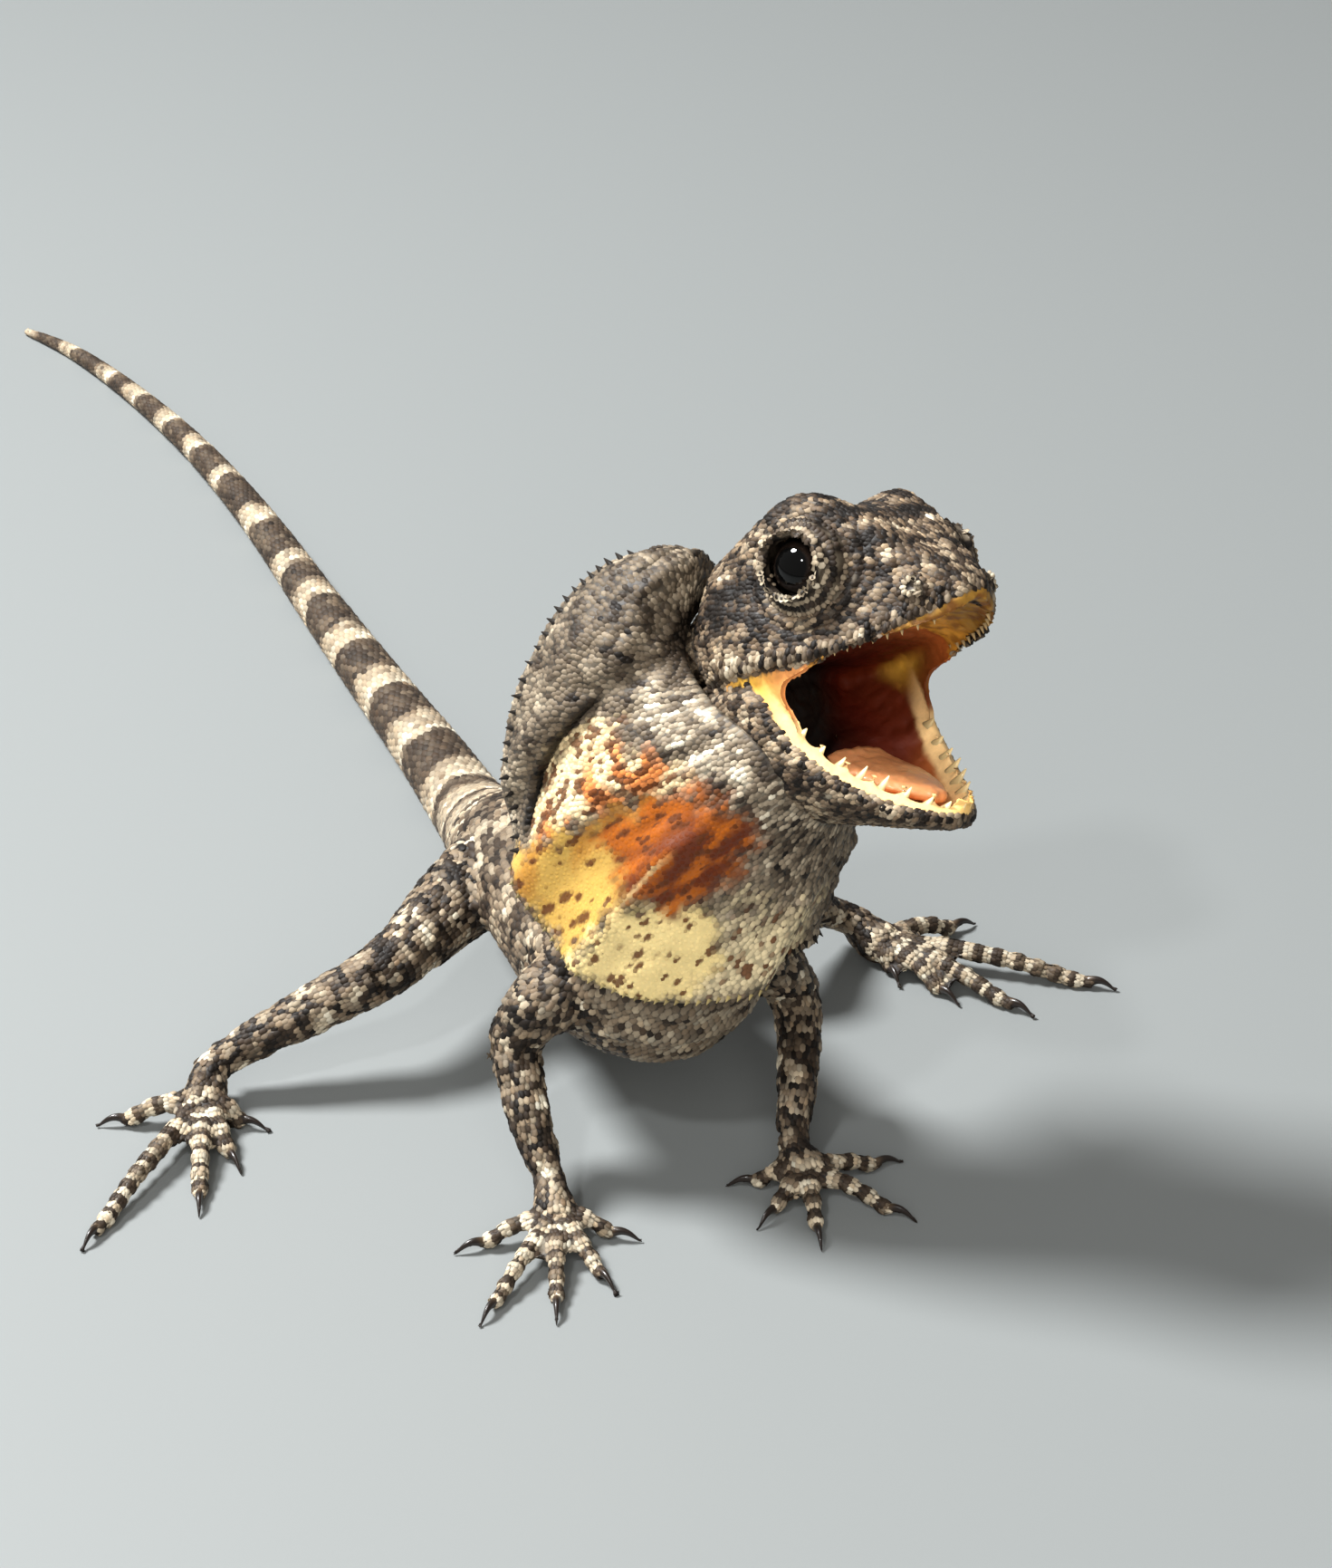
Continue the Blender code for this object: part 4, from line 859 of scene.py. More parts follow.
# %% Which line a place belongs to
LINE_STEPS = 24
Sample = namedtuple("Sample", "name point way reach pitch along")
line_samples = []
for name, (points, reaches, pitches) in lines.items():
    walked = 0.0
    steps = LINE_STEPS * 4 if name == "body" else LINE_STEPS
    before = points[0]
    for step in range(steps + 1):
        share = step / steps
        point = smooth_read(points, share)
        walked += (point - before).length
        before = point
        line_samples.append(Sample(name, point, course(points, share).normalized(),
                                   smooth_read(reaches, share), smooth_read(pitches, share), walked))
HEAD_LINE = along_middle((9.5, 2.6), (7.0, 3.0), (4.0, 3.6), (1.0, 3.4), (-2.0, 2.8), (-4.6, 1.8))
JAW_LINE = along_middle((7.6, -8.0), (5.5, -7.4), (3.5, -6.8), (1.5, -6.2), (-1.0, -5.0), (-3.5, -3.4))
for name, points, reach in (("head", HEAD_LINE, 4.6), ("jaw", JAW_LINE, 3.4)):
    for step in range(LINE_STEPS + 1):
        point = smooth_read(points, step / LINE_STEPS)
        line_samples.append(Sample(name, point, -HEAD_FORWARD, reach, HEAD_PITCH, 0.0))
line_tree = KDTree(len(line_samples))
for index, sample in enumerate(line_samples):
    line_tree.insert(sample.point, index)
line_tree.balance()


def line_at(point):
    """The sample of the line that a place belongs to, by its distance against the line's own thickness."""
    near = line_tree.find_n(point, 12)
    best = min(near, key=lambda hit: hit[2] - line_samples[hit[1]].reach)
    return line_samples[best[1]]


def skin_tone(point, sample):
    if sample.name in HEAD_FLESH:
        return head_tone(point)
    if sample.name == "body":
        return tail_tone(point) if point.y > TAIL_START else torso_tone(point)
    return limb_tone(point, sample.along, "toe" in sample.name)


print("samples on the lines:", len(line_samples))

# %% [markdown]
# The smooth skin gets its folds here: swollen brows with a valley between them, rings of wrinkles round the
# eyes, cracks between plates on the limbs, and folds across the chest. Each is a height along the skin's
# normal. The teeth modelled on the jaw are cut down to a low gum, because finer ones are set on it later.

# %% Relief of the skin
# Swellings of the head: place forward, left (both sides), up, reach, height.
HEAD_SWELLINGS = ((3.4, 2.9, 7.3, 1.5, 0.40), (1.4, 4.0, 6.4, 1.3, 0.22), (-1.8, 5.4, 4.6, 1.5, 0.30),
                  (6.6, 2.3, 5.6, 1.2, 0.22), (3.8, 0.0, 7.2, 1.2, -0.30), (7.4, 0.0, 5.2, 1.2, -0.12),
                  (0.4, 5.9, 2.2, 1.2, 0.16))


def eye_middle(side):
    return head_mm(EYE_F, side * EYE_L, EYE_U)


def eye_facing(side):
    forward, across, up = EYE_FACING
    return (HEAD_FORWARD * forward + HEAD_LEFT * (side * across) + HEAD_UP * up).normalized()


def from_eye(point, side):
    """How far a place lies out of the eye's middle along its facing, and how far round it."""
    away = point - eye_middle(side)
    out = away.dot(eye_facing(side))
    return out, (away - eye_facing(side) * out).length


def nostril_middle(side):
    return head_mm(NOSTRIL_F, side * NOSTRIL_L, NOSTRIL_U)


def head_relief(point):
    forward, left, up = head_axes(point)
    if forward > -1.2 and jaw_rim_height(forward) - 0.3 < up < lip_at(min(forward, LIP_END))[1] - 0.1:
        return 0.0
    height = 0.0
    for f, l, u, reach, swell in HEAD_SWELLINGS:
        away = (forward - f) ** 2 + (abs(left) - l) ** 2 + (up - u) ** 2
        height += swell * math.exp(-away / reach ** 2)
    out, ring = from_eye(point, 1 if left > 0 else -1)
    if out > 0.0:
        height += 0.09 * wrinkle_wave(ring) * ramp(ring, 1.7, 2.0) * (1.0 - ramp(ring, 2.9, 3.6))
    return height + 0.10 * cloud(point, 0.8, 12.0) - 0.07 * crack(point, 0.9, 0.2, 5.0)


def relief(point, sample):
    """Height of the skin's folds at a place, in millimetres."""
    if sample.name in HEAD_FLESH:
        return head_relief(point)
    if sample.name == "body":
        chest = (1.0 - ramp(point.y, 15.0, 18.0)) * (1.0 - ramp(point.z, 13.0, 16.0))
        fold = math.sin(point.z * 2.9 + 1.7 * cloud(point, 2.4, 6.0))
        return 0.13 * chest * fold + 0.10 * cloud(point, 1.4, 3.0) * (1.0 - ramp(point.y, 36.0, 46.0))
    if "toe" in sample.name:
        return 0.05 * math.cos(sample.along * 6.1)
    return 0.08 * cloud(point, 0.9, 2.0) - 0.13 * crack(wandering(point), 1.25, 0.22, 11.0)


# The way that the teeth point, as shares of forward and up, and how much of them stays as a gum.
GUM_FORWARD, GUM_UP, GUM_HEIGHT = 0.69, 0.72, 0.62
PEG_ROW, PEG_HEIGHT = (3.3, 9.6), 2.2


def blunted(place):
    """How far back a place on one of the jaw's modelled teeth goes, down to the gum's height."""
    forward, _, up = head_axes(place)
    height = (up - jaw_rim_height(forward)) * GUM_UP
    if PEG_ROW[0] < forward < PEG_ROW[1] and up < -2.2 and height < PEG_HEIGHT:
        return max(0.0, height - GUM_HEIGHT)
    return 0.0


folded = []
for vertex in skin.data.vertices:
    place = as_mm(vertex.co)
    moved = vertex.co + vertex.normal * (relief(place, line_at(place)) * MM)
    moved -= (HEAD_FORWARD * GUM_FORWARD + HEAD_UP * GUM_UP) * (blunted(place) * MM)
    folded.append((moved.x, moved.y, max(moved.z, FLOOR_CLEAR * MM)))
skin.data.vertices.foreach_set("co", np.array(folded).ravel())
skin.data.update()
print("swellings of the head:", len(HEAD_SWELLINGS))

# %% [markdown]
# The skin's own unwrap comes from Smart UV Project, which lays every side of the body flat on the map.
# A BVH tree of the skin answers where a ray meets it and which face that is.

# %% Unwrap and search tree of the skin
edit_whole(skin)
bpy.ops.uv.smart_project(angle_limit=math.radians(66), island_margin=0.002)
edit_done()
unwrapped = np.zeros(len(skin.data.loops) * 2)
skin.data.uv_layers.active.data.foreach_get("uv", unwrapped)
unwrapped = unwrapped.reshape(-1, 2)
first_loop = np.zeros(len(skin.data.polygons), dtype=np.int32)
skin.data.polygons.foreach_get("loop_start", first_loop)
skin_points = [as_mm(v.co) for v in skin.data.vertices]
skin_tree = BVHTree.FromPolygons(skin_points, [tuple(f.vertices) for f in skin.data.polygons])
skin_normals = [v.normal.copy() for v in skin.data.vertices]


def soft_normal(face):
    corners = skin.data.polygons[face].vertices
    return sum((skin_normals[c] for c in corners), Vector()).normalized()


def map_place(face):
    return unwrapped[first_loop[face]]


print("faces on the skin's unwrap:", len(first_loop))

# %% [markdown]
# The bare skin shows only in the creases between scales, so it takes the same tone much darker. The mouth
# is bare, so there it takes its full colour.

# %% Colours on the bare skin
CREASE_SHADE = 0.34
CLAW_DARK, CLAW_PALE = colour(30, 22, 17), colour(150, 122, 92)


def on_claw(point, sample):
    """Whether a place lies beyond the end of a toe, where its claw is."""
    if "_toe_" not in sample.name:
        return False
    limb, number = sample.name.split("_toe_")
    route, out = toe_line(limb, FEET[limb][int(number) - 1])
    return (point - route[-1]).dot(out) > 0.0


def paint(item, colours):
    layer = item.data.color_attributes.new("markings", "FLOAT_COLOR", "POINT")
    values = np.ones((len(colours), 4))
    values[:, :3] = np.array(colours)
    layer.data.foreach_set("color", values.ravel())


skin_colours = []
for point, normal in zip(skin_points, skin_normals):
    sample = line_at(point)
    made = tone_colour(skin_tone(point, sample)) * CREASE_SHADE
    made = mixed(made, mouth_colour(point), mouth_share(point, normal))
    skin_colours.append(CLAW_DARK if on_claw(point, sample) else made)
paint(skin, skin_colours)
print("corners painted on the skin:", len(skin_colours))

# %% [markdown]
# Rows first: at even steps along each line a ring of rays goes out to the skin, every second ring turned by
# half a scale, as real scales lie. Gaps and steps are shares of a scale's width at that place.

# %% Roots of the body's scales
random.seed(20)
EYE_CLEAR, NOSTRIL_CLEAR = 2.30, 0.66
IN_RING, RING_STEP, ROOT_GAP, ROW_WIDTH = 0.92, 0.86, 0.66, 1.10
# A few scales are darker or paler than their place: share of all scales, and change of tone.
DARK_SHARE, DARKER = 0.05, -0.12
PALE_SHARE, PALER = 0.04, 0.08
coat = []
spacing = Spacing(0.60)


def add_scale(point, face, normal, lie, pitch, sample):
    luck = random.random()
    tone = skin_tone(point, sample) + random.gauss(0.0, 0.035)
    if luck < DARK_SHARE:
        tone += DARKER
    elif luck > 1.0 - PALE_SHARE:
        tone += PALER
    tint = (1.04 if sample.name in HEAD_FLESH else 1.0) + random.gauss(0.0, 0.03)
    made = tone_colour(tone) * np.array((tint, 1.0, 2.0 - tint))
    size = (pitch * random.uniform(0.94, 1.12), pitch * 1.28, pitch * 0.22 * random.uniform(0.8, 1.3))
    coat.append((from_mm(point), normal, lie, size, made, map_place(face), sample.name))


def bare(point, normal, sample):
    """Where no scale of the coat grows: inside the mouth, round the eyes and nostrils, and on the claws."""
    if sample.name != "body" and sample.name not in HEAD_FLESH:
        return on_claw(point, sample)
    for side in (1, -1):
        out, ring = from_eye(point, side)
        if out > 0.5 and ring < EYE_CLEAR or (point - nostril_middle(side)).length < NOSTRIL_CLEAR:
            return True
    return mouth_share(point, normal) > 0.3


def rows_along(name):
    points, reaches, pitches = lines[name]
    share, row = 0.0, 0
    whole = sum((b - a).length for a, b in zip(points, points[1:]))
    while share < 1.0:
        centre, forward = smooth_read(points, share), course(points, share).normalized()
        reach, pitch = smooth_read(reaches, share), smooth_read(pitches, share)
        side = forward.cross(Vector((0.0, 0.3, 1.0))).normalized()
        above = side.cross(forward)
        count = max(6, round(2 * math.pi * reach * IN_RING / pitch))
        for k in range(count):
            angle = 2 * math.pi * (k + 0.5 * (row % 2)) / count
            way = side * math.cos(angle) + above * math.sin(angle)
            hit, _, face, _ = skin_tree.ray_cast(centre, way, reach * 1.7 + 0.3)
            if hit is None:
                continue
            normal, sample = soft_normal(face), line_at(hit)
            if normal.dot(way) > 0.2 and not bare(hit, normal, sample) and spacing.add(hit, pitch * ROOT_GAP):
                add_scale(hit, face, normal, forward, pitch * ROW_WIDTH, sample)
        share += pitch * RING_STEP / whole
        row += 1


for name in lines:
    rows_along(name)
print("scales in rows:", len(coat))

# %% [markdown]
# The places that no ring reached, such as the head, get scales at random faces of the skin that keep their
# distance from each other.

# %% Scales where no row reached
FILL_GAP, FILL_WIDTH = 0.80, 1.12
order = list(range(len(skin.data.polygons)))
random.shuffle(order)
for face in order:
    point, normal = as_mm(skin.data.polygons[face].center), soft_normal(face)
    sample = line_at(point)
    if not bare(point, normal, sample) and spacing.add(point, sample.pitch * FILL_GAP):
        add_scale(point, face, normal, sample.way, sample.pitch * FILL_WIDTH, sample)
print("scales in all:", len(coat))

# %% [markdown]
# Coat pieces are kept under 200,000 triangles each, so the coat is stamped in parts: trunk, tail, limbs and
# head.

# %% Stamp the body's coat
def part_of_coat(name, root):
    """The piece that a scale goes to, by its line's name and its place along the body."""
    if name in HEAD_FLESH:
        return "scales_head"
    if name != "body":
        return "scales_limbs"
    return "scales_trunk" if root.y / MM + BOX_MIDDLE.y < TAIL_START else "scales_tail"


for piece in ("scales_trunk", "scales_tail", "scales_limbs", "scales_head"):
    coat_piece(piece, SCALE, [entry[:6] for entry in coat if part_of_coat(entry[6], entry[0]) == piece])

# %% [markdown]
# The frill's scales sit on its front and its back. On the hump, the margin and the cheek they are dense and
# keeled, and on the stretched bright panels they are small, flat and of the panel's own colour. Rows start at
# the root and fan out, and a row that comes too near its neighbour is thinned.

# %% Scales on the frill
FRILL_PITCH, BACK_PITCH = 0.30, 0.40
# Shares of a scale's width: from scale to scale, from row to row, and the least way between two roots.
FRILL_STEP, FRILL_ROW, FRILL_GAP = 0.62, 0.84, 0.70
PROBE = 0.005


def frill_frame(place, share):
    """A point of the sheet with its front normal and its way outward."""
    here = frill_point(place, share)
    ahead = frill_point(place, min(share + 0.012, 1.0)) - frill_point(place, max(share - 0.012, 0.0))
    beside = frill_point(min(place + 0.002, 1.0), share) - frill_point(max(place - 0.002, 0.0), share)
    return here, ahead.cross(beside).normalized(), ahead.normalized()


def frill_rows(front):
    places, kept = [], Spacing(0.5)
    pitch = FRILL_PITCH if front else BACK_PITCH
    place, row = 0.004, 0
    while place < 0.997:
        out = frill_axes(place)[1].length
        beyond = min(place + PROBE, 1.0)
        widest = max((frill_point(beyond, share) - frill_point(place, share)).length for share in (0.6, 0.95))
        widest = max(widest, 0.02)
        share = 0.02 + (0.5 * pitch / out if row % 2 else 0.0)
        while share < 0.99:
            shaken = place + random.uniform(-0.4, 0.4) * pitch * PROBE / widest
            shaken = min(0.999, max(0.001, shaken))
            nearby = min(0.995, max(0.005, share + random.uniform(-0.3, 0.3) * pitch / out))
            here, normal, lie = frill_frame(shaken, nearby)
            if kept.add(here, pitch * FRILL_GAP):
                places.append(frill_scale(shaken, nearby, here, normal, lie, front, pitch))
            share += pitch * FRILL_STEP / out
        place += pitch * FRILL_ROW * PROBE / widest
        row += 1
    return places


def frill_scale(place, share, here, normal, lie, front, pitch):
    if front:
        made, panel = frill_colour(place, share, here)
        face = normal
    else:
        made, panel = tone_colour(0.42 + 0.18 * cloud(here, 1.2, 41.0), FRILL_GREY_SCALE), 0.0
        face = -normal
    made = made * (1.0 + (0.11 - 0.07 * panel) * random.gauss(0.0, 1.0))
    size = (pitch * 1.06, pitch * 1.28, pitch * (0.28 - 0.19 * panel))
    root = from_mm(here + face * (FRILL_WALL * 0.46))
    return root, face, lie, size, np.clip(made, 0.0, 1.0), np.array((place, share if front else share * 0.5))


frill_front, frill_back = frill_rows(True), frill_rows(False)
coat_piece("scales_frill_front", SCALE, frill_front)
coat_piece("scales_frill_back", SCALE, frill_back)
sheet_colours = []
for (place, share), vertex in zip(frill_places, frill.data.vertices):
    made, panel = frill_colour(place, share, as_mm(vertex.co))
    # The sheet shows only between its scales, so outside the stretched panels it is darkened as painted
    # shade.
    sheet_colours.append(made * (0.40 + 0.55 * panel))
paint(frill, sheet_colours)
wall = frill.modifiers.new("wall", "SOLIDIFY")
wall.thickness = FRILL_WALL * MM
wall.offset = 0.0
apply_all(frill)
print("frill sheet triangles:", triangles(frill))

# %% [markdown]
# Along the frill's free edge stands a row of small pointed scales: dark and rough by the hump and the margin,
# pale and fine along the stretched panels. A thorn is a cone of a few sides, modelled once and leaning a
# little. The same shape serves for the teeth later.

# %% Thorns of the edges
def thorn():
    bpy.ops.mesh.primitive_cone_add(vertices=6, radius1=0.5, radius2=0.06, depth=1.0,
                                    location=(0.0, 0.0, 0.5))
    made = bpy.context.object
    settle(made)
    for vertex in made.data.vertices:
        if vertex.co.z > 0.5:
            vertex.co.y += 0.25
    return made


THORN = pattern_of(thorn())
EDGE_THORNS = 104
STRETCHED = (0.31, 0.62)
edge_thorns = []
for number in range(EDGE_THORNS):
    place = (number + 0.5) / EDGE_THORNS
    dark = place < STRETCHED[0] or place > STRETCHED[1]
    here, normal, lie = frill_frame(place, 0.95 if dark else 0.99)
    shade = colour(30, 24, 18) if dark else colour(214, 190, 128) * random.uniform(0.45, 1.0)
    wide = random.uniform(0.36, 0.46) if dark else 0.30
    size = (wide, wide * 0.8, random.uniform(0.42, 0.62) if dark else 0.34)
    way = (lie + normal * (0.9 if dark else 0.25)).normalized()
    root = from_mm(here + normal * FRILL_WALL * 0.4)
    edge_thorns.append((root, way, normal, size, shade, np.array((place, 0.99))))
coat_piece("frill_edge_thorns", THORN, edge_thorns)

# %% [markdown]
# Three rows of scales follow the upper lip, and the lowest leans out over the mouth. The lower lip is bare,
# with dark dashes along its rim.

# %% Lip scales
LIP_STEP = 0.36
# Rows of the upper lip: height over the bare band, and size.
LIP_ROWS = ((0.10, 0.34), (0.42, 0.32), (0.72, 0.32))
DASH_STEPS, DASH_SIZE = 54, (0.36, 0.30, 0.08)


def nearest_skin(point):
    hit, _, face, _ = skin_tree.find_nearest(point)
    return hit, soft_normal(face), face


lip_places = []
for side in (1, -1):
    forward, number = -1.6, 0
    while forward < 10.3:
        width, up = lip_at(forward)
        for level, size in LIP_ROWS:
            target = head_mm(forward + 0.3 * level, side * (width + 0.2), up + lip_band(forward) + level)
            hit, normal, face = nearest_skin(target)
            lowest = level == LIP_ROWS[0][0]
            if lowest:
                normal = (normal + HEAD_LEFT * side * 0.3 - HEAD_UP * 0.5).normalized()
            shade = tone_colour(head_tone(hit) + random.gauss(0.03, 0.10) - (0.3 if number % 4 == 2 else 0.0))
            height = random.uniform(0.20, 0.34) if lowest else 0.12
            lip_places.append((from_mm(hit), normal, -HEAD_UP - HEAD_FORWARD * 0.3,
                               (size, size * 1.2, height), shade, map_place(face)))
        forward += LIP_STEP * (0.70 if forward > 9.0 else 0.95)
        number += 1
for side in (1, -1):
    for number in range(10, DASH_STEPS):
        if number % 4 not in (2, 3):
            continue
        along, up, width = smooth_read(JAW_CURVE, number / (DASH_STEPS - 1) * 0.985 + 0.01)
        hit, normal, face = nearest_skin(head_mm(along - 0.1, side * (width + 0.15), up - 0.12))
        normal = (normal + HEAD_LEFT * side * 0.4).normalized()
        lip_places.append((from_mm(hit), normal, -HEAD_UP - HEAD_FORWARD * 0.4, DASH_SIZE,
                           colour(24, 18, 12), map_place(face)))
coat_piece("scales_lips", SCALE, lip_places)

# %% [markdown]
# Rings of small beads make the eyelids and the rims of the nostrils. Each ring is read round the way that the
# eye or nostril faces, and dropped onto the skin from outside. The upper plates are pale, the lower lid is a
# cream crescent, and a dark line runs under it.

# %% Eyelid scales
# Rings round the opening: radius, count, size, height, tone below and tone above.
LID_RINGS = ((1.36, 38, 0.20, 0.04, 0.50, 0.08), (1.52, 42, 0.30, 0.05, 0.72, 0.34),
             (1.72, 44, 0.32, 0.06, 0.66, 0.60), (1.94, 48, 0.30, 0.07, 0.06, 0.26),
             (2.16, 52, 0.28, 0.08, 0.56, 0.12))
NOSTRIL_RINGS = ((0.36, 9, 0.26, 0.18, 0.80, 0.80), (0.62, 13, 0.26, 0.12, 0.30, 0.30))
lid_places = []


def rings_of_scales(middle, facing, rings):
    """Rings of scales round a place, dropped on the skin along the way that the place faces."""
    over = (HEAD_UP - facing * HEAD_UP.dot(facing)).normalized()
    beside = facing.cross(over)
    for row, (radius, count, size, height, below, above) in enumerate(rings):
        for number in range(count):
            angle = 2 * math.pi * (number + 0.5 * (row % 2)) / count
            way = over * math.sin(angle) + beside * math.cos(angle)
            hit, _, face, _ = skin_tree.ray_cast(middle + facing * 5.0 + way * radius, -facing, 6.0)
            if hit is None:
                continue
            tone = mixed(below, above, ramp(math.sin(angle), 0.0, 0.5))
            shade = tone_colour(tone + random.gauss(0.0, 0.07))
            normal = (soft_normal(face) + facing * 0.4).normalized()
            lid_places.append((from_mm(hit), normal, way, (size, size * 1.1, height), shade, map_place(face)))


for side in (1, -1):
    rings_of_scales(eye_middle(side), eye_facing(side), LID_RINGS)
    outward = (HEAD_LEFT * side + HEAD_FORWARD * 0.45 + HEAD_UP * 0.25).normalized()
    rings_of_scales(nostril_middle(side), outward, NOSTRIL_RINGS)
coat_piece("scales_eyelids", SCALE, lid_places)

# %% [markdown]
# The eyes are dark, wet balls. Each starts as a fine UV sphere at the socket's middle, with a slightly raised
# clear front, and a faint brown ring for the iris is painted on it, round its own direction.

# %% Eyes
EYE_RADIUS, EYE_OUTWARD, CORNEA_RISE = 1.74, 0.20, 0.13
EYE_BLACK, EYE_BROWN = colour(4, 4, 4), colour(26, 19, 15)
eyes = []
for side, word in ((1, "left"), (-1, "right")):
    facing = eye_facing(side)
    bpy.ops.mesh.primitive_uv_sphere_add(segments=56, ring_count=36, radius=EYE_RADIUS * MM)
    eye = named(bpy.context.object, f"eyeball_{word}")
    for vertex in eye.data.vertices:
        vertex.co *= 1.0 + CORNEA_RISE * ramp(vertex.co.z / (EYE_RADIUS * MM), 0.55, 1.0)
    middle = eye_middle(side) + facing * EYE_OUTWARD
    turned = facing.to_track_quat("Z", "Y").to_matrix().to_4x4()
    eye.matrix_world = Matrix.Translation(from_mm(middle)) @ turned
    settle(eye)
    eye.data.shade_smooth()
    values = []
    for vertex in eye.data.vertices:
        away = (as_mm(vertex.co) - middle).normalized()
        angle = math.degrees(facing.angle(away))
        iris = ramp(angle, 26.0, 29.0) * (1.0 - ramp(angle, 33.0, 38.0))
        values.append(mixed(EYE_BLACK, EYE_BROWN, iris))
    paint(eye, values)
    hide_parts(f"eye_{word}")
    eyes.append(eye)
print("eyes:", [eye.name for eye in eyes])

# %% [markdown]
# Teeth are fine and pointed, set on the low gum just inside the lower lip and highest in the middle of the
# row. Smaller ones line the upper lip. All are the thorn again, stretched along the rims.

# %% Teeth
TEETH_LOWER, TEETH_UPPER = 9, 12
GUM_INSET, TOOTH_LIFT, LIP_INSET = 1.15, 0.32, 0.62
TOOTH_MAP = np.array((0.5, 0.5))
teeth_places = []
for side in (1, -1):
    for number in range(TEETH_LOWER):
        share = number / (TEETH_LOWER - 1)
        along, up, width = smooth_read(JAW_CURVE, 0.26 + 0.60 * share)
        height = 0.42 + 0.42 * math.sin(math.pi * share) + 0.14 * math.sin(5.0 * number)
        root = head_mm(along + GUM_FORWARD * TOOTH_LIFT, side * max(width - GUM_INSET, 0.2),
                       up + GUM_UP * TOOTH_LIFT)
        way = (HEAD_UP * GUM_UP + HEAD_FORWARD * GUM_FORWARD).normalized()
        row_way = HEAD_FORWARD * 0.73 - HEAD_UP * 0.68
        shade = colour(246, 218, 156) * random.uniform(0.85, 1.0)
        teeth_places.append((from_mm(root), way, row_way, (0.34, 0.66, height + 0.2), shade, TOOTH_MAP))
    for number in range(TEETH_UPPER):
        forward = 3.0 + 6.4 * number / (TEETH_UPPER - 1)
        width, up = lip_at(forward)
        root = head_mm(forward, side * (width - LIP_INSET), up + 0.35)
        way = (-HEAD_UP + HEAD_LEFT * side * 0.15).normalized()
        shade = colour(226, 190, 130) * random.uniform(0.75, 0.95)
        teeth_places.append((from_mm(root), way, HEAD_FORWARD, (0.24, 0.24, 0.36), shade, TOOTH_MAP))
teeth = stamp("teeth", THORN, teeth_places)
print("teeth:", len(teeth_places))

# %% [markdown]
# The tongue keeps the solid's place on the floor of the jaw. A copy is softened and given a pebbled top.

# %% Tongue
PEBBLE_HEIGHT, PEBBLE_DEPTH, PEBBLE_GRAIN = 0.10, 0.07, 0.35
tongue = named(copy_of("tongue"), "tongue_flesh")
softened(tongue, 2)
apply_all(tongue)
tongue.data.materials.clear()
raised = []
for vertex in tongue.data.vertices:
    pebble = PEBBLE_HEIGHT + PEBBLE_DEPTH * cloud(as_mm(vertex.co), PEBBLE_GRAIN)
    raised.append(vertex.co + vertex.normal * pebble * MM)
tongue.data.vertices.foreach_set("co", np.array(raised).ravel())
tongue.data.update()
paint(tongue, [colour(222, 152, 100) * (1.0 + 0.12 * cloud(as_mm(v.co), 0.5)) for v in tongue.data.vertices])
tongue.data.shade_smooth()
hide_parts("tongue")
print("tongue triangles:", triangles(tongue))

# %% [markdown]
# Claws are curved, round horn that leaves the toe's end, bows up and comes down to a fine point. Each starts
# as a cylinder with many rings, whose rings are then moved along the claw's curve and made thinner.

# %% Claws
CLAW_RADIUS, CLAW_FLATNESS = 0.27, 0.82
CLAW_RINGS, CLAW_SIDES = 14, 10
# Height of the claw's root over the floor, rise of its bow, and drop to its tip.
CLAW_FOOT, CLAW_BOW, CLAW_DROP = 0.34, 0.37, 0.27
claw_pieces = []
for limb, tips in FEET.items():
    claws = []
    for tip in tips:
        route, out = toe_line(limb, tip)
        start = route[-1]
        bpy.ops.mesh.primitive_cylinder_add(vertices=CLAW_SIDES, radius=1.0, depth=1.0,
                                            end_fill_type="TRIFAN")
        claw = bpy.context.object
        edit_whole(claw)
        for ring in range(1, CLAW_RINGS):
            bpy.ops.mesh.select_all(action="SELECT")
            bpy.ops.mesh.bisect(plane_co=(0.0, 0.0, ring / CLAW_RINGS - 0.5), plane_no=(0.0, 0.0, 1.0))
        edit_done()
        side = out.cross(Vector((0.0, 0.0, 1.0)))
        for vertex in claw.data.vertices:
            share = vertex.co.z + 0.5
            turn = math.pi * min(share * 1.05, 1.0)
            rise = CLAW_FOOT + CLAW_BOW * math.sin(turn) - CLAW_DROP * share
            centre = start + out * (CLAW_LENGTH * 1.02 * share - 0.35) + Vector((0.0, 0.0, rise - start.z))
            slope = (0.39 * math.pi * math.cos(turn) - CLAW_DROP) / CLAW_LENGTH
            lift = Vector((-out.x * slope, -out.y * slope, 1.0)).normalized()
            radius = CLAW_RADIUS * (1.06 * (1.0 - share) ** 0.75 + 0.05)
            offset = side * (vertex.co.x * radius * CLAW_FLATNESS) + lift * (vertex.co.y * radius)
            vertex.co = from_mm(centre + offset)
            vertex.co.z = max(vertex.co.z, 0.01 * MM)
        claws.append(claw)
    select_only(*claws)
    bpy.ops.object.join()
    made = named(bpy.context.view_layer.objects.active, f"claws_{limb}")
    edit_whole(made)
    bpy.ops.mesh.normals_make_consistent(inside=False)
    edit_done()
    made.data.shade_smooth()
    tips_mm = [Vector((*tip, 0.2)) for tip in tips]
    values = []
    for vertex in made.data.vertices:
        near = min((as_mm(vertex.co) - tip).length for tip in tips_mm)
        values.append(mixed(CLAW_DARK, CLAW_PALE, 0.5 * ramp(near, 1.2, 2.0)))
    paint(made, values)
    claw_pieces.append(made)
print("claw pieces:", len(claw_pieces))

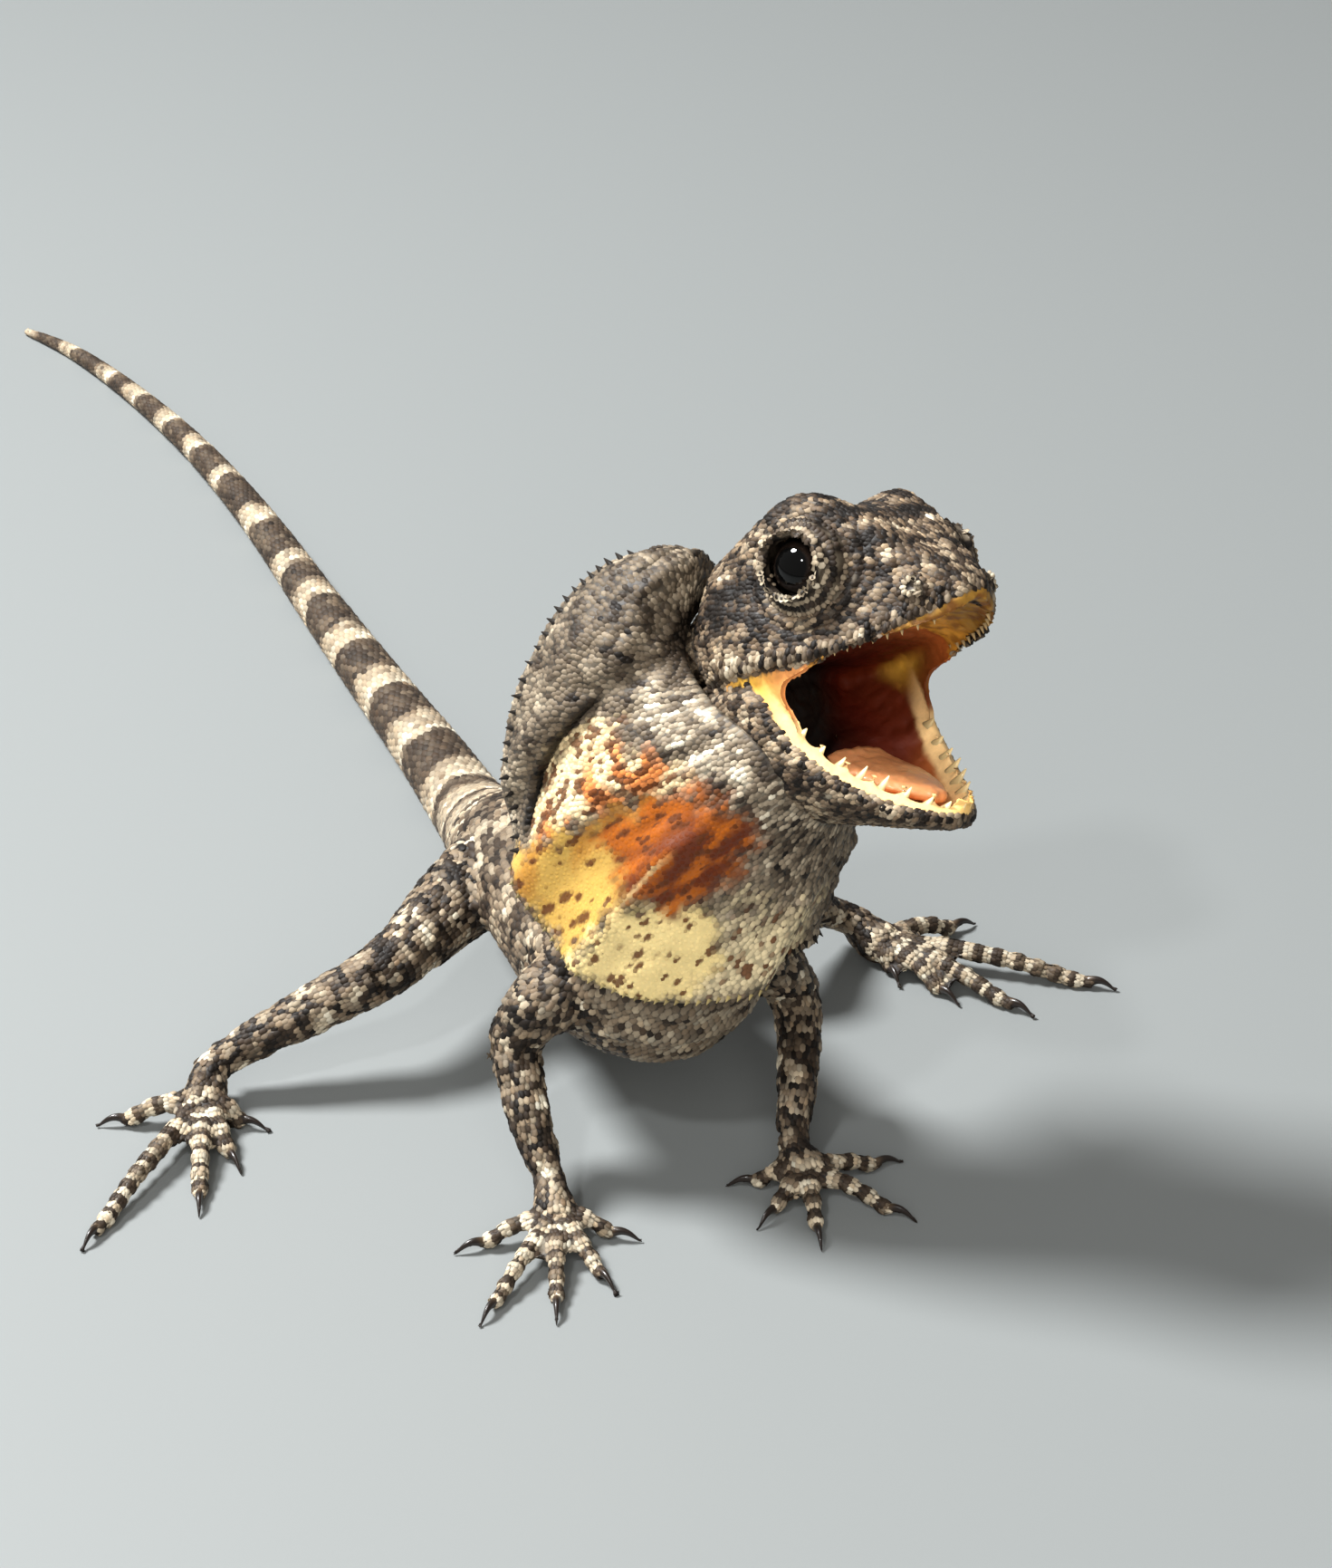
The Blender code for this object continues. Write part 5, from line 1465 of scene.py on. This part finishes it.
# %% [markdown]
# Lizard skin is dry and faintly glossy, with fine grain on each scale. One node group gives that grain: it
# takes the painted markings and puts out a broken colour, a roughness and a bumped normal, and each material
# uses it with its own values.

# %% Grain shared by the materials
GRAIN_INPUTS = (("Markings", "Color", (0.5, 0.5, 0.5, 1.0)), ("Grain Size", "Float", 3000.0),
                ("Mottle", "Float", 0.2), ("Roughness", "Float", 0.6), ("Bump", "Float", 0.3))
GRAIN_OUTPUTS = (("Colour", "Color"), ("Roughness", "Float"), ("Normal", "Vector"))
GRAIN_DEPTH = 0.04


def grain_group():
    group = bpy.data.node_groups.new("skin_grain", "ShaderNodeTree")
    for name, kind, value in GRAIN_INPUTS:
        socket = group.interface.new_socket(name, in_out="INPUT", socket_type="NodeSocket" + kind)
        socket.default_value = value
    for name, kind in GRAIN_OUTPUTS:
        group.interface.new_socket(name, in_out="OUTPUT", socket_type="NodeSocket" + kind)
    nodes, links = group.nodes, group.links
    given, result = nodes.new("NodeGroupInput"), nodes.new("NodeGroupOutput")

    def multiply_add(*values):
        """First times second plus third. Each is a number or the output of another node."""
        made = nodes.new("ShaderNodeMath")
        made.operation = "MULTIPLY_ADD"
        for socket, value in zip(made.inputs, values):
            if isinstance(value, float):
                socket.default_value = value
            else:
                links.new(value, socket)
        return made.outputs[0]

    grain = nodes.new("ShaderNodeTexNoise")
    grain.inputs["Detail"].default_value = 4.0
    links.new(nodes.new("ShaderNodeTexCoord").outputs["Object"], grain.inputs["Vector"])
    links.new(given.outputs["Grain Size"], grain.inputs["Scale"])
    grain_height, mottle = grain.outputs["Fac"], given.outputs["Mottle"]
    tint = nodes.new("ShaderNodeMix")
    tint.data_type, tint.blend_type = "RGBA", "MULTIPLY"
    tint.inputs["Factor"].default_value = 1.0
    links.new(given.outputs["Markings"], tint.inputs["A"])
    links.new(multiply_add(grain_height, mottle, multiply_add(mottle, -0.5, 1.0)), tint.inputs["B"])
    links.new(tint.outputs["Result"], result.inputs["Colour"])
    links.new(multiply_add(grain_height, 0.25, given.outputs["Roughness"]), result.inputs["Roughness"])
    bump = nodes.new("ShaderNodeBump")
    bump.inputs["Distance"].default_value = GRAIN_DEPTH * MM
    links.new(grain_height, bump.inputs["Height"])
    links.new(given.outputs["Bump"], bump.inputs["Strength"])
    links.new(bump.outputs["Normal"], result.inputs["Normal"])
    return group


GRAIN = grain_group()


def painted_material(name, grain_size, mottle, roughness, bump, specular, coat, glow):
    """A material that shows the painted markings through the grain."""
    made = bpy.data.materials.new(name)
    made.use_nodes = True
    nodes, links = made.node_tree.nodes, made.node_tree.links
    shader = nodes["Principled BSDF"]
    markings = nodes.new("ShaderNodeAttribute")
    markings.attribute_name = "markings"
    grain = nodes.new("ShaderNodeGroup")
    grain.node_tree = GRAIN
    for socket, value in (("Grain Size", grain_size), ("Mottle", mottle), ("Roughness", roughness),
                          ("Bump", bump)):
        grain.inputs[socket].default_value = value
    links.new(markings.outputs["Color"], grain.inputs["Markings"])
    for output, socket in (("Colour", "Base Color"), ("Roughness", "Roughness"), ("Normal", "Normal")):
        links.new(grain.outputs[output], shader.inputs[socket])
    for socket, value in (("Specular IOR Level", specular), ("Coat Weight", coat), ("Coat Roughness", 0.1),
                          ("Subsurface Weight", glow), ("Subsurface Radius", (0.0006, 0.0003, 0.0002)),
                          ("Subsurface Scale", 1.0)):
        shader.inputs[socket].default_value = value
    return made


# Grain size, mottle, roughness, bump, sheen, clear coat, and light that passes under the surface.
FINISHES = {name: painted_material(name, *values) for name, *values in (
    ("bare_skin", 4200.0, 0.35, 0.45, 0.5, 0.4, 0.0, 0.0),
    ("scale_horn", 5200.0, 0.45, 0.48, 0.5, 0.24, 0.0, 0.0),
    ("frill_membrane", 3600.0, 0.30, 0.45, 0.4, 0.4, 0.0, 0.15),
    ("wet_tongue", 3000.0, 0.25, 0.25, 0.6, 0.4, 0.6, 0.2),
    ("tooth_enamel", 2500.0, 0.10, 0.20, 0.1, 0.4, 0.4, 0.0),
    ("claw_horn", 2500.0, 0.30, 0.25, 0.2, 0.4, 0.3, 0.0),
    ("wet_eye", 2500.0, 0.05, -0.10, 0.0, 0.30, 0.0, 0.0),
)}


def finish(item, material):
    item.data.materials.clear()
    item.data.materials.append(FINISHES[material])


finish(skin, "bare_skin")
finish(frill, "frill_membrane")
finish(tongue, "wet_tongue")
finish(teeth, "tooth_enamel")
for piece in scale_pieces:
    finish(piece, "scale_horn")
for piece in claw_pieces:
    finish(piece, "claw_horn")
for piece in eyes:
    finish(piece, "wet_eye")
print("finishes:", list(FINISHES))

# %% [markdown]
# Every piece rides on the one body of a still model. The skin and the frill stand for the solids that they
# cover.

# %% Which piece stands for what
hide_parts(*FLESH, *HEAD_FLESH)
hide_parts("frill_left", "frill_right", "frill_throat")
for piece in [skin, frill, tongue, teeth] + scale_pieces + claw_pieces + eyes:
    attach(piece, "root")
print("pieces:", len(scale_pieces) + len(claw_pieces) + len(eyes) + 4)

# %% [markdown]
# The floor is plain and pale. A large soft light from behind on the left gives the short shadows to the
# right of the feet, a weaker one fills the front, a small one sets the glint in the eye, and the sky lifts
# the rest.

# %% Floor and light
bpy.ops.mesh.primitive_plane_add(size=4.0)
floor = bpy.context.object
floor.name = "floor"
floor_paint = bpy.data.materials.new("floor_paint")
floor_paint.use_nodes = True
floor_shader = floor_paint.node_tree.nodes["Principled BSDF"]
floor_shader.inputs["Base Color"].default_value = (*colour(122, 126, 126), 1.0)
floor_shader.inputs["Roughness"].default_value = 0.55
floor.data.materials.append(floor_paint)
# Lights: name, place, size in metres, power and colour.
LIGHTS = (("key", (-170.0, 160.0, 330.0), 0.11, 3.95, (1.0, 1.0, 1.0)),
          ("front_fill", (-120.0, -260.0, 200.0), 0.30, 0.80, (1.0, 0.97, 0.93)),
          ("eye_light", (-190.0, -150.0, 330.0), 0.03, 0.5, (1.0, 1.0, 1.0)))
LIT_PLACE = from_mm((0.0, 20.0, 10.0))
for name, place, size, power, tint in LIGHTS:
    bpy.ops.object.light_add(type="AREA", location=from_mm(place))
    light = bpy.context.object
    light.name = name
    light.data.shape = "DISK"
    light.data.size = size
    light.data.energy = power
    light.data.color = tint
    light.visible_glossy = name != "front_fill"
    light.rotation_euler = (LIT_PLACE - light.location).to_track_quat("-Z", "Y").to_euler()
world = bpy.data.worlds.new("sky")
world.use_nodes = True
sky = world.node_tree.nodes["Background"]
sky.inputs["Color"].default_value = (1.0, 0.975, 0.94, 1.0)
sky.inputs["Strength"].default_value = 0.23
bpy.context.scene.world = world
print("lights:", len(LIGHTS))

# %% [markdown]
# The camera stands where the photograph was taken from: a long lens from above the right front foot.

# %% Camera
PHOTO_HEIGHT = 1731
FOCAL_PIXELS = 5000.0
CAMERA_PLACE = (-69.0, -161.0, 133.7)
CAMERA_HEADING, CAMERA_DOWN = math.radians(21.7), math.radians(31.0)
bpy.ops.object.camera_add(location=from_mm(CAMERA_PLACE))
camera = bpy.context.object
camera.data.sensor_width = 36.0
camera.data.lens = camera.data.sensor_width * FOCAL_PIXELS / PHOTO_HEIGHT
camera.data.clip_start = 0.01
level = math.cos(CAMERA_DOWN)
aim = Vector((math.sin(CAMERA_HEADING) * level, math.cos(CAMERA_HEADING) * level, -math.sin(CAMERA_DOWN)))
camera.rotation_euler = aim.to_track_quat("-Z", "Y").to_euler()
bpy.context.scene.camera = camera
bpy.context.scene.view_settings.view_transform = "Standard"
bpy.context.scene.view_settings.look = "None"
print("lens in mm:", round(camera.data.lens, 1))
